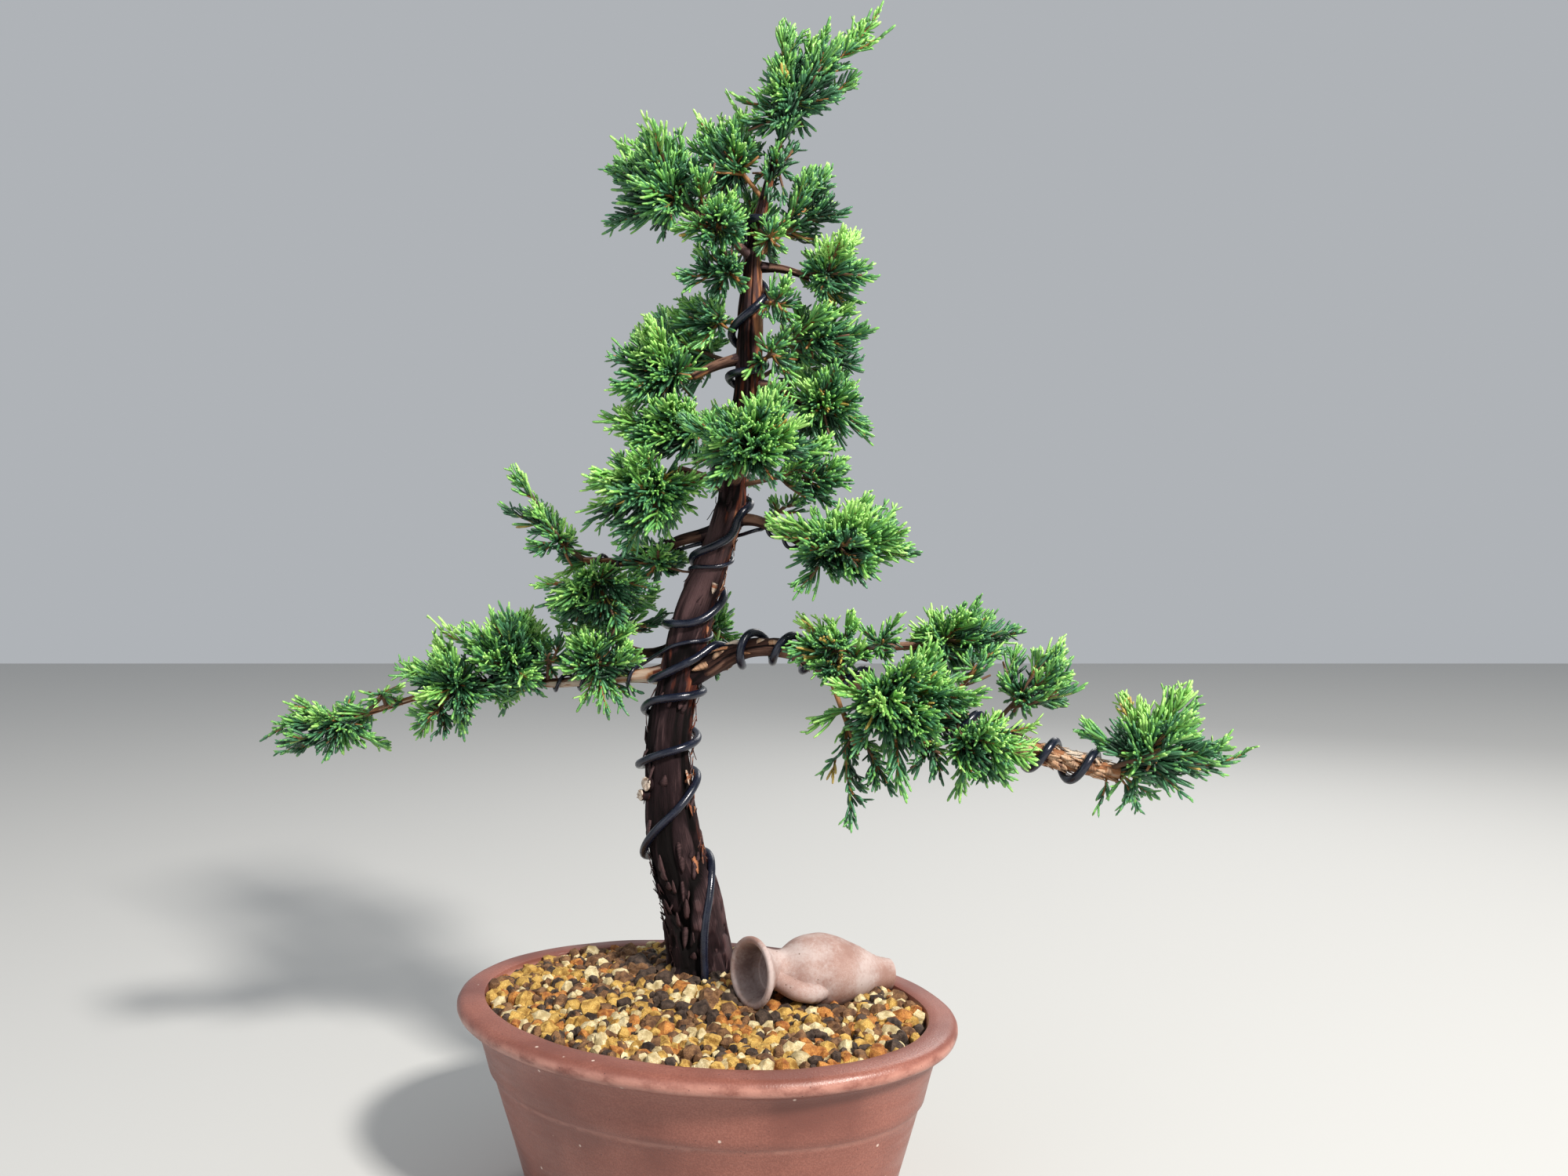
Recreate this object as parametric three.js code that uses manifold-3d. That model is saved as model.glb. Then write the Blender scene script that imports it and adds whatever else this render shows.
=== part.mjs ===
// A juniper bonsai in an oval stoneware pot, with a small clay jar lying on the gravel beside the trunk.
// Millimetres, +Z up, +X to the right of the front view, -Y towards the viewer.
// The origin is the centre of the pot's flat underside.
import * as THREE from 'three';
import { mergeVertices } from 'three/addons/utils/BufferGeometryUtils.js';
import Module from 'manifold-3d';

const wasm = await Module();
wasm.setup();

// Clearance between neighbouring pieces, and between the gravel and the pot, whose facets differ a little
const GAP = 0.35;
const WALL_GAP = 0.7;

// Pot: an oval whose width is the length less a constant all the way down
const POT_LENGTH = 350;
const POT_WIDTH = 252;
const POT_HEIGHT = 140;
const POT_TURN = THREE.MathUtils.degToRad(-22);
const POT_WALL = 9.5;
const POT_FLOOR = 12;
const RIM_WIDTH = 19;
const RIM_DEPTH = 11;
const POT_SEGMENTS = 32;

// Gravel: its level at the wall and the low mound round the trunk
const SOIL_LEVEL = 134;
const SOIL_SEAT = 142;
const SOIL_MOUND = 9.5;
const SOIL_MOUND_SPREAD = 56;
const SOIL_SEAT_RADIUS = 27;
const SOIL_RINGS = 4;

// Jar: a lathe form lying on its belly, its axis given by where the mouth is and which way it faces
const JAR_LENGTH = 110;
const JAR_MOUTH_RADIUS = 23.5;
const JAR_LIP = 4;
const JAR_BELLY_RADIUS = 25.5;
const JAR_NECK_RADIUS = 12.5;
const JAR_TAIL_RADIUS = 8.5;
const JAR_RECESS = 17;
const JAR_MOUTH = new THREE.Vector3(31, -10, 164);
const JAR_HEADING = THREE.MathUtils.degToRad(66);
const JAR_RISE = THREE.MathUtils.degToRad(8);
const JAR_HANDLE_RADIUS = 6.5;
const JAR_HANDLE_ROLL = THREE.MathUtils.degToRad(-18);
const JAR_SEGMENTS = 18;

// Trunk: its centre line from the ground to the tip as [x, y, z, radius]
const TRUNK_FOOT = new THREE.Vector3(-1, 46, SOIL_SEAT + GAP);
const TRUNK_ROUTE = [
  [-1, 46, 136, 22],
  [-4, 46, 156, 19.6],
  [-12, 48, 196, 19.7],
  [-22, 49, 232, 18.6],
  [-26, 50, 270, 17.6],
  [-25, 50, 315, 16.7],
  [-20, 50, 345, 15.6],
  [-8, 51, 396, 14.2],
  [3, 50, 426, 11.6],
  [10, 49, 446, 10.3],
  [19, 47, 478, 10.4],
  [21, 44, 510, 9.8],
  [29, 40, 548, 9.4],
  [32, 35, 592, 8.6],
  [34, 31, 626, 6.8],
  [37, 28, 656, 4.4],
  [54, 21, 722, 2.2],
];
const TRUNK_SIDES = 10;
const TRUNK_STEPS = 24;
const ROOT_LOBES = 5;
const ROOT_LOBE_SPREAD = 22;
const ROOT_LOBE_HEIGHT = 2;
const STUB_HEIGHT = 265;
const STUB_LENGTH = 8;
const STUB_RADIUS = 5;

// Boughs: each leaves its parent limb inside the bark and runs to its tip
const BOUGHS = [
  {
    name: 'bough_right_low',
    parent: 'trunk',
    sides: 8,
    steps: 16,
    route: [[-17, 48, 350, 9], [4, 44, 361, 7.6], [30, 35, 373, 7.2], [62, 24, 373, 6.8],
      [94, 14, 357, 6.6], [138, 2, 341, 6.4], [215, -14, 311, 6.6], [248, -18, 302, 6.6],
      [276, -20, 295, 5]],
  },
  {
    name: 'bough_right_low_upper',
    parent: 'bough_right_low',
    route: [[62, 24, 371, 4], [97, 30, 373, 3.4], [128, 36, 374, 3], [158, 40, 376, 2.4]],
  },
  {
    name: 'bough_left_low',
    parent: 'trunk',
    steps: 12,
    route: [[-27, 50, 354, 6], [-59, 60, 351, 4.4], [-108, 70, 346, 3.8], [-151, 78, 346, 3.3],
      [-193, 84, 340, 2.8], [-262, 90, 319, 2]],
  },
  {
    name: 'bough_left_back',
    parent: 'trunk',
    route: [[-24, 52, 371, 4], [-46, 66, 368, 3], [-66, 78, 374, 2.4]],
  },
  {
    name: 'bough_left_middle',
    parent: 'trunk',
    route: [[8, 49, 455, 4.5], [-19, 56, 449, 4], [-36, 62, 440, 3.6], [-63, 68, 434, 3.3],
      [-89, 70, 435, 2.6]],
  },
  {
    name: 'bough_right_middle',
    parent: 'trunk',
    route: [[17, 46, 464, 4.5], [36, 43, 463, 4], [54, 31, 455, 3.7], [68, 20, 447, 3.3],
      [84, 12, 439, 2.6]],
  },
  {
    name: 'bough_left_high_front',
    parent: 'trunk',
    route: [[19, 46, 484, 4], [2, 38, 492, 3.4], [-16, 26, 498, 2.6]],
  },
  {
    name: 'bough_front',
    parent: 'trunk',
    route: [[20, 44, 490, 4], [27, 22, 496, 3.3], [34, 0, 505, 2.5]],
  },
  {
    name: 'bough_right_high',
    parent: 'trunk',
    route: [[30, 38, 557, 4], [48, 38, 556, 3.3], [72, 36, 543, 2.4]],
  },
  {
    name: 'bough_left_high',
    parent: 'trunk',
    route: [[31, 36, 577, 3.8], [11, 34, 571, 3.2], [-7, 32, 562, 2.4]],
  },
  {
    name: 'bough_right_top',
    parent: 'trunk',
    route: [[34, 30, 638, 3.2], [56, 30, 636, 2.6], [74, 28, 630, 2]],
  },
  {
    name: 'bough_left_top',
    parent: 'trunk',
    route: [[35, 30, 644, 3], [16, 23, 658, 2.6], [-5, 15, 672, 2]],
  },
  {
    name: 'bough_back_low',
    parent: 'trunk',
    route: [[-16, 52, 368, 4.5], [-8, 74, 372, 3.4], [-1, 88, 378, 2.6]],
  },
  {
    name: 'bough_back_middle',
    parent: 'trunk',
    route: [[19, 46, 496, 4], [17, 70, 502, 3.2], [18, 92, 512, 2.4]],
  },
];
const BOUGH_SIDES = 5;
const BOUGH_STEPS = 6;

// Foliage masses: the space of each as an ellipsoid with a lean to the right in degrees,
// and the limb and the part of its length where the stem leaves it
const MASSES = [
  { name: 'foliage_apex', limb: 'trunk', at: 1, centre: [78, 16, 761], radii: [28, 27, 69], lean: 40 },
  { name: 'foliage_top_left', limb: 'bough_left_top', at: 1,
    centre: [-31, 20, 694], radii: [38, 34, 38] },
  { name: 'foliage_top_left_high', limb: 'trunk', at: 0.93,
    centre: [16, 28, 718], radii: [26, 27, 36] },
  { name: 'foliage_top_front', limb: 'bough_left_top', at: 0.55,
    centre: [11, 0, 659], radii: [27, 27, 27] },
  { name: 'foliage_top_front_low', limb: 'trunk', at: 0.8, centre: [13, 9, 628], radii: [21, 22, 25] },
  { name: 'foliage_top_right', limb: 'trunk', at: 0.86, centre: [75, 34, 681], radii: [22, 25, 31] },
  { name: 'foliage_upper_right_high', limb: 'bough_right_top', at: 1,
    centre: [93, 26, 634], radii: [29, 31, 31] },
  { name: 'foliage_upper_right', limb: 'trunk', at: 0.76, centre: [93, 32, 590], radii: [28, 30, 28] },
  { name: 'foliage_right_high', limb: 'bough_right_high', at: 1,
    centre: [86, 34, 541], radii: [31, 34, 35] },
  { name: 'foliage_upper_left', limb: 'trunk', at: 0.79, centre: [-1, 34, 602], radii: [26, 27, 26] },
  { name: 'foliage_left_high', limb: 'bough_left_high', at: 1,
    centre: [-36, 28, 567], radii: [31, 34, 46] },
  { name: 'foliage_front', limb: 'bough_front', at: 1, centre: [36, -22, 516], radii: [45, 38, 36] },
  { name: 'foliage_right_middle_high', limb: 'trunk', at: 0.6,
    centre: [83, 14, 500], radii: [25, 29, 29] },
  { name: 'foliage_left_middle_high', limb: 'trunk', at: 0.66,
    centre: [-29, 22, 523], radii: [36, 34, 31] },
  { name: 'foliage_left_high_front', limb: 'bough_left_high_front', at: 1,
    centre: [-39, 6, 479], radii: [43, 36, 35] },
  { name: 'foliage_right_middle', limb: 'bough_right_middle', at: 1,
    centre: [101, -4, 447], radii: [49, 40, 39] },
  { name: 'foliage_left_middle', limb: 'bough_left_middle', at: 0.85,
    centre: [-78, 52, 412], radii: [50, 38, 31] },
  { name: 'foliage_left_middle_shoot', limb: 'bough_left_middle', at: 1,
    centre: [-122, 72, 467], radii: [24, 22, 39], lean: -35 },
  { name: 'foliage_left_low_inner', limb: 'bough_left_low', at: 0.22,
    centre: [-76, 46, 370], radii: [48, 34, 38] },
  { name: 'foliage_left_low_middle', limb: 'bough_left_low', at: 0.5,
    centre: [-144, 74, 363], radii: [45, 43, 38] },
  { name: 'foliage_left_low_outer', limb: 'bough_left_low', at: 0.62,
    centre: [-192, 62, 324], radii: [34, 36, 40] },
  { name: 'foliage_left_low_tip', limb: 'bough_left_low', at: 1,
    centre: [-283, 90, 312], radii: [45, 32, 28] },
  { name: 'foliage_right_low_inner', limb: 'bough_right_low_upper', at: 0.4,
    centre: [92, -4, 382], radii: [31, 29, 29] },
  { name: 'foliage_right_low_upper', limb: 'bough_right_low_upper', at: 1,
    centre: [181, 40, 381], radii: [41, 40, 32] },
  { name: 'foliage_right_low_outer', limb: 'bough_right_low', at: 0.72,
    centre: [230, 2, 357], radii: [35, 34, 26] },
  { name: 'foliage_right_low_middle', limb: 'bough_right_low', at: 0.45,
    centre: [138, -28, 339], radii: [53, 38, 41] },
  { name: 'foliage_right_low_hanging', limb: 'bough_right_low', at: 0.36,
    centre: [103, -22, 305], radii: [21, 22, 37] },
  { name: 'foliage_right_low_front', limb: 'bough_right_low', at: 0.6,
    centre: [177, -38, 304], radii: [31, 31, 31] },
  { name: 'foliage_right_low_tip', limb: 'bough_right_low', at: 1,
    centre: [309, -22, 312], radii: [55, 38, 40] },
  { name: 'foliage_back_low', limb: 'bough_back_low', at: 1,
    centre: [4, 106, 386], radii: [25, 27, 28] },
  { name: 'foliage_back_middle', limb: 'bough_back_middle', at: 1,
    centre: [23, 116, 528], radii: [41, 36, 39] },
  { name: 'foliage_back_left', limb: 'trunk', at: 0.74, centre: [-20, 92, 595], radii: [31, 34, 39] },
  { name: 'foliage_back_right', limb: 'trunk', at: 0.72, centre: [77, 92, 592], radii: [31, 34, 39] },
  { name: 'foliage_back_top', limb: 'trunk', at: 0.85, centre: [33, 80, 681], radii: [29, 31, 35] },
  { name: 'foliage_left_back', limb: 'bough_left_back', at: 1,
    centre: [-77, 92, 400], radii: [47, 36, 28] },
];

// Stems run from their limb to a heart that lies short of the middle of the space, by a part of its radius
const SHORTEST_STEM = 12;
const HEART_DEPTH = 0.3;
const STEM_SLIDE = 2.5;
const STEM_TRIES = [0, 1, -1, 2, -2, 3, -3, 4, -4, 5, -5];
const STEM_RADIUS = 1.9;

// Twigs, sprays and needles: how far a twig goes towards the surface, which part of the faces bear needles,
// and how many square millimetres of the space's three sections there are to a twig
const TWIG_RADIUS = 1.2;
const TWIG_TIP_RADIUS = 0.8;
const TWIG_SIDES = 3;
const TWIG_REACH = 0.66;
const CORE_DEPTHS = [0.5, 0.44, 0.38, 0.32, 0.26];
const CORE_NEEDLES = 0.5;
const SPRAY_CORE = 4.6;
const SPRAY_STRETCH = 0.3;
const NEEDLES_TO = -0.4;
const NEEDLE_LEAN = 0.3;
const SPACE_MARGIN = 1.06;
const SPACE_PER_TWIG = 5000;
const FEWEST_TWIGS = 1;
const SEED = 1009;
const GOLDEN_TURN = Math.PI * (3 - Math.sqrt(5));

// Wires: heavy on the trunk and the big bough, thin on the slim boughs
const WIRE_GAP = 0.75;
const HEAVY_WIRE = { radius: 2.9, sides: 5, stepsPerTurn: 8 };
const THIN_WIRE = { radius: 1.4, sides: 4, stepsPerTurn: 7 };
// Marks of [turns, height] round the trunk: 0 is on the right, 0.25 behind, 0.5 left, 0.75 in front
const LOW_WIRE_MARKS = [
  [0.75, 180], [1, 214], [1.5, 226], [2, 282], [2.5, 288], [3, 307], [3.5, 324], [4, 338],
  [4.5, 339], [4.6, 342], [4.85, 368],
];
const HIGH_WIRE_MARKS = [
  [1.4, 384], [1.75, 391], [2, 414], [2.5, 432], [2.75, 447], [2.84, 457], [2.86, 470], [3, 477],
  [3.25, 482], [3.5, 499], [4, 518], [5, 545], [5.5, 562], [6, 572], [6.5, 592], [7, 622], [7.25, 634],
  [7.5, 664], [7.85, 670],
];
const LEFT_WIRE_MARKS = [[1.15, 390], [1, 385], [0.75, 377], [0.6, 368]];
const LEFT_MIDDLE_WIRE_MARKS = [[0.05, 408], [0.25, 414], [0.5, 424], [0.75, 431], [1, 439], [1.5, 443]];
const RIGHT_MIDDLE_WIRE_MARKS = [[0.35, 450], [0.1, 455]];

// Colours and finishes
const finish = (color, roughness, metalness = 0) => (
  new THREE.MeshStandardMaterial({ color, roughness, metalness })
);
const STONEWARE = finish(0x8a4a3c, 0.5);
const GRAVEL = finish(0xa8834f, 0.9);
const TERRACOTTA = finish(0xd9a894, 0.85);
const BARK = finish(0x5c3b2a, 0.9);
const FOLIAGE = finish(0x4f8a3a, 0.65);
const WIRE = finish(0x23262b, 0.4, 0.8);

// Random numbers between 0 and 1 that are the same in every run
function seeded(seed) {
  let state = seed;
  return () => {
    state = (state * 1664525 + 1013904223) % 4294967296;
    return state / 4294967296;
  };
}

// A closed solid from a closed geometry, with its shared corners merged and its faces pointing out
function solidOf(geometry) {
  const bare = new THREE.BufferGeometry();
  bare.setAttribute('position', geometry.getAttribute('position'));
  bare.setIndex(geometry.getIndex());
  const merged = mergeVertices(bare, 1e-4);
  const corners = merged.getAttribute('position').array;
  const index = merged.getIndex().array;
  const a = new THREE.Vector3();
  const b = new THREE.Vector3();
  const c = new THREE.Vector3();
  const faces = [];
  let volume = 0;
  for (let i = 0; i < index.length; i += 3) {
    const [p, q, r] = [index[i], index[i + 1], index[i + 2]];
    if (p === q || q === r || r === p) continue;
    faces.push(p, q, r);
    a.fromArray(corners, p * 3);
    b.fromArray(corners, q * 3);
    c.fromArray(corners, r * 3);
    volume += a.dot(b.cross(c));
  }
  if (volume < 0) faces.reverse();
  return new wasm.Manifold(new wasm.Mesh({
    numProp: 3,
    vertProperties: new Float32Array(corners),
    triVerts: new Uint32Array(faces),
  }));
}

function geometryOf(solid) {
  const mesh = solid.getMesh();
  const geometry = new THREE.BufferGeometry();
  geometry.setAttribute('position', new THREE.BufferAttribute(mesh.vertProperties, 3));
  geometry.setIndex(new THREE.BufferAttribute(mesh.triVerts, 1));
  geometry.computeVertexNormals();
  return geometry;
}

function reshape(geometry, change) {
  const positions = geometry.getAttribute('position');
  const point = new THREE.Vector3();
  for (let i = 0; i < positions.count; i += 1) {
    point.fromBufferAttribute(positions, i);
    change(point, i);
    positions.setXYZ(i, point.x, point.y, point.z);
  }
  return geometry;
}

// A limb: a tapering round form along a curve through [x, y, z, radius] points.
// Angles round it are measured from the reference direction towards the axis crossed with it.
class Limb {
  constructor({ name, route, sides = BOUGH_SIDES, steps = BOUGH_STEPS, reference }) {
    this.name = name;
    this.sides = sides;
    this.steps = steps;
    this.reference = reference;
    this.radii = route.map((point) => point[3]);
    const points = route.map(([x, y, z]) => new THREE.Vector3(x, y, z));
    this.path = new THREE.CatmullRomCurve3(points, false, 'centripetal');
  }

  radius(u) {
    const place = this.path.getUtoTmapping(u) * (this.radii.length - 1);
    const before = Math.min(Math.floor(place), this.radii.length - 2);
    return THREE.MathUtils.lerp(this.radii[before], this.radii[before + 1], place - before);
  }

  // A point at an angle round the limb and a distance from its centre line
  around(u, angle, distance) {
    const tangent = this.path.getTangentAt(u);
    const across = this.reference.clone().projectOnPlane(tangent).normalize();
    const other = tangent.clone().cross(across);
    return this.path.getPointAt(u)
      .addScaledVector(across, Math.cos(angle) * distance)
      .addScaledVector(other, Math.sin(angle) * distance);
  }

  // The part of the length at which the limb passes a height
  heightToPart(height) {
    let low = 0;
    let high = 1;
    for (let i = 0; i < 24; i += 1) {
      const middle = (low + high) / 2;
      if (this.path.getPointAt(middle).z < height) low = middle;
      else high = middle;
    }
    return low;
  }

  solid(grow = 0, lobes = () => 0) {
    const rod = new THREE.CylinderGeometry(1, 1, 1, this.sides, this.steps);
    const length = this.path.getLength();
    reshape(rod, (point) => {
      const u = point.y + 0.5;
      const angle = Math.atan2(point.x, point.z);
      const reach = Math.hypot(point.x, point.z);
      const end = u < 1e-6 ? -grow : (u > 1 - 1e-6 ? grow : 0);
      const radius = this.radius(u) + grow + lobes(angle, u * length);
      point.copy(this.around(u, angle, reach * radius)).addScaledVector(this.path.getTangentAt(u), end);
    });
    return solidOf(rod);
  }
}

// Pot
function potProfile() {
  const edge = POT_LENGTH / 2;
  const top = POT_HEIGHT;
  const outside = [
    [0, 0], [edge - 51, 0], [edge - 49, 3], [edge - 42, 25], [edge - 24, 88], [edge - 20.5, 91],
    [edge - 18, 104], [edge - 14, 117], [edge - 9, top - RIM_DEPTH - 1.5],
    [edge - 2.5, top - RIM_DEPTH], [edge, top - 5.5], [edge - 4, top - 0.5],
  ];
  const inside = [
    [edge - RIM_WIDTH, top], [edge - RIM_WIDTH - 0.5, top - 8], [edge - 15 - POT_WALL, 115],
    [edge - 24 - POT_WALL, 88], [edge - 42 - POT_WALL, 25], [edge - 46 - POT_WALL, POT_FLOOR],
    [0, POT_FLOOR],
  ];
  return { outside, inside };
}

// Turns a lathe, made about +Y, upright, and narrows every ring along Y by the same amount
function ovalLathe(profile, segments, ringEdge = (radius) => radius) {
  const narrowing = (POT_LENGTH - POT_WIDTH) / 2;
  const lathe = new THREE.LatheGeometry(profile.map(([r, z]) => new THREE.Vector2(r, z)), segments);
  lathe.rotateX(Math.PI / 2);
  reshape(lathe, (point) => {
    const edge = ringEdge(Math.hypot(point.x, point.y), point.z);
    if (edge > narrowing) point.y *= (edge - narrowing) / edge;
  });
  return lathe.rotateZ(POT_TURN);
}

function potSolid() {
  const { outside, inside } = potProfile();
  return solidOf(ovalLathe([...outside, ...inside], POT_SEGMENTS));
}

// Gravel
function soilHeight(x, y) {
  const away = Math.hypot(x - TRUNK_FOOT.x, y - TRUNK_FOOT.y);
  return SOIL_LEVEL + SOIL_MOUND * Math.exp(-(away ** 2) / (2 * SOIL_MOUND_SPREAD ** 2));
}

function soilSolid(jar) {
  const { inside } = potProfile();
  const topEdge = inside[1][0] - WALL_GAP;
  const wall = inside.slice(1, -1).reverse().map(([r, z], i) => [r - WALL_GAP, i === 0 ? z + GAP : z]);
  wall[wall.length - 1][1] = SOIL_LEVEL;
  const profile = [[0, POT_FLOOR + GAP], ...wall];
  for (let ring = SOIL_RINGS - 1; ring >= 0; ring -= 1) {
    profile.push([topEdge * ring / SOIL_RINGS, SOIL_LEVEL]);
  }
  const onTop = (z) => z > SOIL_LEVEL - 0.01;
  const bed = ovalLathe(profile, POT_SEGMENTS, (radius, z) => (onTop(z) ? topEdge : radius));
  reshape(bed, (point) => {
    if (onTop(point.z)) point.z = soilHeight(point.x, point.y);
  });
  const seat = new THREE.CylinderGeometry(SOIL_SEAT_RADIUS, SOIL_SEAT_RADIUS, SOIL_MOUND, 24);
  seat.rotateX(Math.PI / 2).translate(TRUNK_FOOT.x, TRUNK_FOOT.y, SOIL_SEAT + SOIL_MOUND / 2);
  return solidOf(bed).subtract(solidOf(seat)).subtract(jar);
}

// Jar, made along +Y from the tail to the mouth and then laid on the gravel
function jarSolid(grow = 0) {
  const outline = new THREE.SplineCurve([
    [JAR_TAIL_RADIUS, 0], [JAR_TAIL_RADIUS + 2, 12], [18, 28], [JAR_BELLY_RADIUS, 54], [21, 73],
    [JAR_NECK_RADIUS, 86], [15.5, 98], [JAR_MOUTH_RADIUS, JAR_LENGTH - 3],
  ].map(([r, y]) => new THREE.Vector2(r, y))).getPoints(9);
  const outside = outline.map((point) => [point.x + grow, point.y]).slice(1);
  const top = JAR_LENGTH + grow;
  const floor = JAR_LENGTH - JAR_RECESS;
  const recess = [[JAR_MOUTH_RADIUS - JAR_LIP, top], [16, top - 7], [13.5, floor], [0, floor]];
  const profile = [
    [0, -grow],
    [JAR_TAIL_RADIUS + grow, -grow],
    ...outside,
    [JAR_MOUTH_RADIUS - 1 + grow, top],
    ...(grow > 0 ? [[0, top]] : recess),
  ];
  const body = new THREE.LatheGeometry(profile.map(([r, y]) => new THREE.Vector2(r, y)), JAR_SEGMENTS);
  const handlePath = new THREE.CatmullRomCurve3(
    [[8, 93], [16.5, 86], [23, 74], [19, 60]].map(([r, y]) => new THREE.Vector3(r, y, 0)),
  );
  const section = roundSection(JAR_HANDLE_RADIUS + grow, 8);
  const handle = new THREE.ExtrudeGeometry(section, { steps: 6, extrudePath: handlePath });
  return lay(solidOf(body).add(solidOf(handle)));
}

// Puts the jar's axis along its heading, with the handle turned to the viewer
function lay(solid) {
  const axis = new THREE.Vector3(
    -Math.sin(JAR_HEADING) * Math.cos(JAR_RISE),
    -Math.cos(JAR_HEADING) * Math.cos(JAR_RISE),
    Math.sin(JAR_RISE),
  );
  const towards = new THREE.Vector3(0, -1, 0).addScaledVector(axis, axis.y).normalize();
  towards.applyAxisAngle(axis, JAR_HANDLE_ROLL);
  const placing = new THREE.Matrix4().makeBasis(towards, axis, towards.clone().cross(axis));
  placing.setPosition(JAR_MOUTH.clone().addScaledVector(axis, -JAR_LENGTH));
  return solidOf(geometryOf(solid).applyMatrix4(placing));
}

function roundSection(radius, sides) {
  const corners = [];
  for (let i = 0; i < sides; i += 1) {
    const angle = (i / sides) * 2 * Math.PI;
    corners.push(new THREE.Vector2(radius * Math.cos(angle), radius * Math.sin(angle)));
  }
  return new THREE.Shape(corners);
}

// Trunk and boughs
const RIGHTWARD = new THREE.Vector3(1, 0, 0);
const UPWARD = new THREE.Vector3(0, 0, 1);
const AWAY = new THREE.Vector3(0, 1, 0);
const trunk = new Limb({
  name: 'trunk', route: TRUNK_ROUTE, sides: TRUNK_SIDES, steps: TRUNK_STEPS, reference: RIGHTWARD,
});
const limbs = { trunk };
for (const bough of BOUGHS) limbs[bough.name] = new Limb({ ...bough, reference: UPWARD });

function trunkSolid() {
  const flare = (angle, along) => (
    ROOT_LOBE_HEIGHT * Math.exp(-along / ROOT_LOBE_SPREAD) * Math.sin(ROOT_LOBES * angle)
  );
  const below = new THREE.BoxGeometry(120, 120, 40);
  below.translate(TRUNK_FOOT.x, TRUNK_FOOT.y, TRUNK_FOOT.z - 20);
  const u = trunk.heightToPart(STUB_HEIGHT);
  const stub = new Limb({
    name: 'stub',
    route: [trunk.path.getPointAt(u), trunk.around(u, Math.PI, trunk.radius(u) + STUB_LENGTH)]
      .map((point) => [point.x, point.y, point.z, STUB_RADIUS]),
    steps: 1,
    reference: UPWARD,
  });
  return trunk.solid(0, flare).add(stub.solid()).subtract(solidOf(below));
}

// Wires
// A bent wire through the points, ending square
function wireSolid(points, { radius, sides }) {
  const path = new THREE.CatmullRomCurve3(points, false, 'centripetal');
  const section = roundSection(radius, sides);
  return solidOf(new THREE.ExtrudeGeometry(section, { steps: points.length - 1, extrudePath: path }));
}

// How far a wire's points stand off the centre line, so that its straight steps clear the bark too
function wireDistance(limb, u, wire) {
  return (limb.radius(u) + wire.radius + WIRE_GAP) / Math.cos(Math.PI / wire.stepsPerTurn);
}

// Points round the trunk through marks of [turns, height], where whole turns lie on the right
function roundTrunk(marks, wire) {
  const points = [];
  for (let i = 1; i < marks.length; i += 1) {
    const [[turnBefore, heightBefore], [turnAfter, heightAfter]] = [marks[i - 1], marks[i]];
    const count = Math.max(1, Math.round(Math.abs(turnAfter - turnBefore) * wire.stepsPerTurn));
    for (let step = i === 1 ? 0 : 1; step <= count; step += 1) {
      const u = trunk.heightToPart(THREE.MathUtils.lerp(heightBefore, heightAfter, step / count));
      const turn = THREE.MathUtils.lerp(turnBefore, turnAfter, step / count);
      points.push(trunk.around(u, turn * 2 * Math.PI, wireDistance(trunk, u, wire)));
    }
  }
  return points;
}

// Points round a bough from one part of its length to another, where whole turns lie on top
function roundBough(limb, { from, to, startTurn, turns }, wire) {
  const count = Math.round(Math.abs(turns) * wire.stepsPerTurn);
  const points = [];
  for (let i = 0; i <= count; i += 1) {
    const u = THREE.MathUtils.lerp(from, to, i / count);
    const turn = startTurn + (turns * i) / count;
    points.push(limb.around(u, turn * 2 * Math.PI, wireDistance(limb, u, wire)));
  }
  return points;
}

function wirePoints() {
  const { bough_right_low: rightLow, bough_left_low: leftLow } = limbs;
  const { bough_left_middle: leftMiddle, bough_right_middle: rightMiddle } = limbs;
  const rise = trunk.around(trunk.heightToPart(SOIL_SEAT + 14), 1.5 * Math.PI, 25);
  const foot = rise.clone().setZ(SOIL_SEAT + GAP);
  return {
    wire_trunk_low: [[
      foot,
      rise,
      ...roundTrunk(LOW_WIRE_MARKS, HEAVY_WIRE),
      ...roundBough(rightLow, { from: 0.105, to: 0.96, startTurn: 0, turns: -10.2 }, HEAVY_WIRE),
    ], HEAVY_WIRE],
    wire_trunk_high: [roundTrunk(HIGH_WIRE_MARKS, HEAVY_WIRE), HEAVY_WIRE],
    wire_left_low: [[
      ...roundTrunk(LEFT_WIRE_MARKS, THIN_WIRE),
      ...roundBough(leftLow, { from: 0.09, to: 0.62, startTurn: 0, turns: -7 }, THIN_WIRE),
    ], THIN_WIRE],
    wire_left_middle: [[
      ...roundTrunk(LEFT_MIDDLE_WIRE_MARKS, THIN_WIRE),
      ...roundBough(leftMiddle, { from: 0.3, to: 0.95, startTurn: 0.5, turns: -4 }, THIN_WIRE),
    ], THIN_WIRE],
    wire_right_middle: [[
      ...roundTrunk(RIGHT_MIDDLE_WIRE_MARKS, THIN_WIRE),
      ...roundBough(rightMiddle, { from: 0.28, to: 0.95, startTurn: 0.5, turns: 3.5 }, THIN_WIRE),
    ], THIN_WIRE],
  };
}

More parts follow.
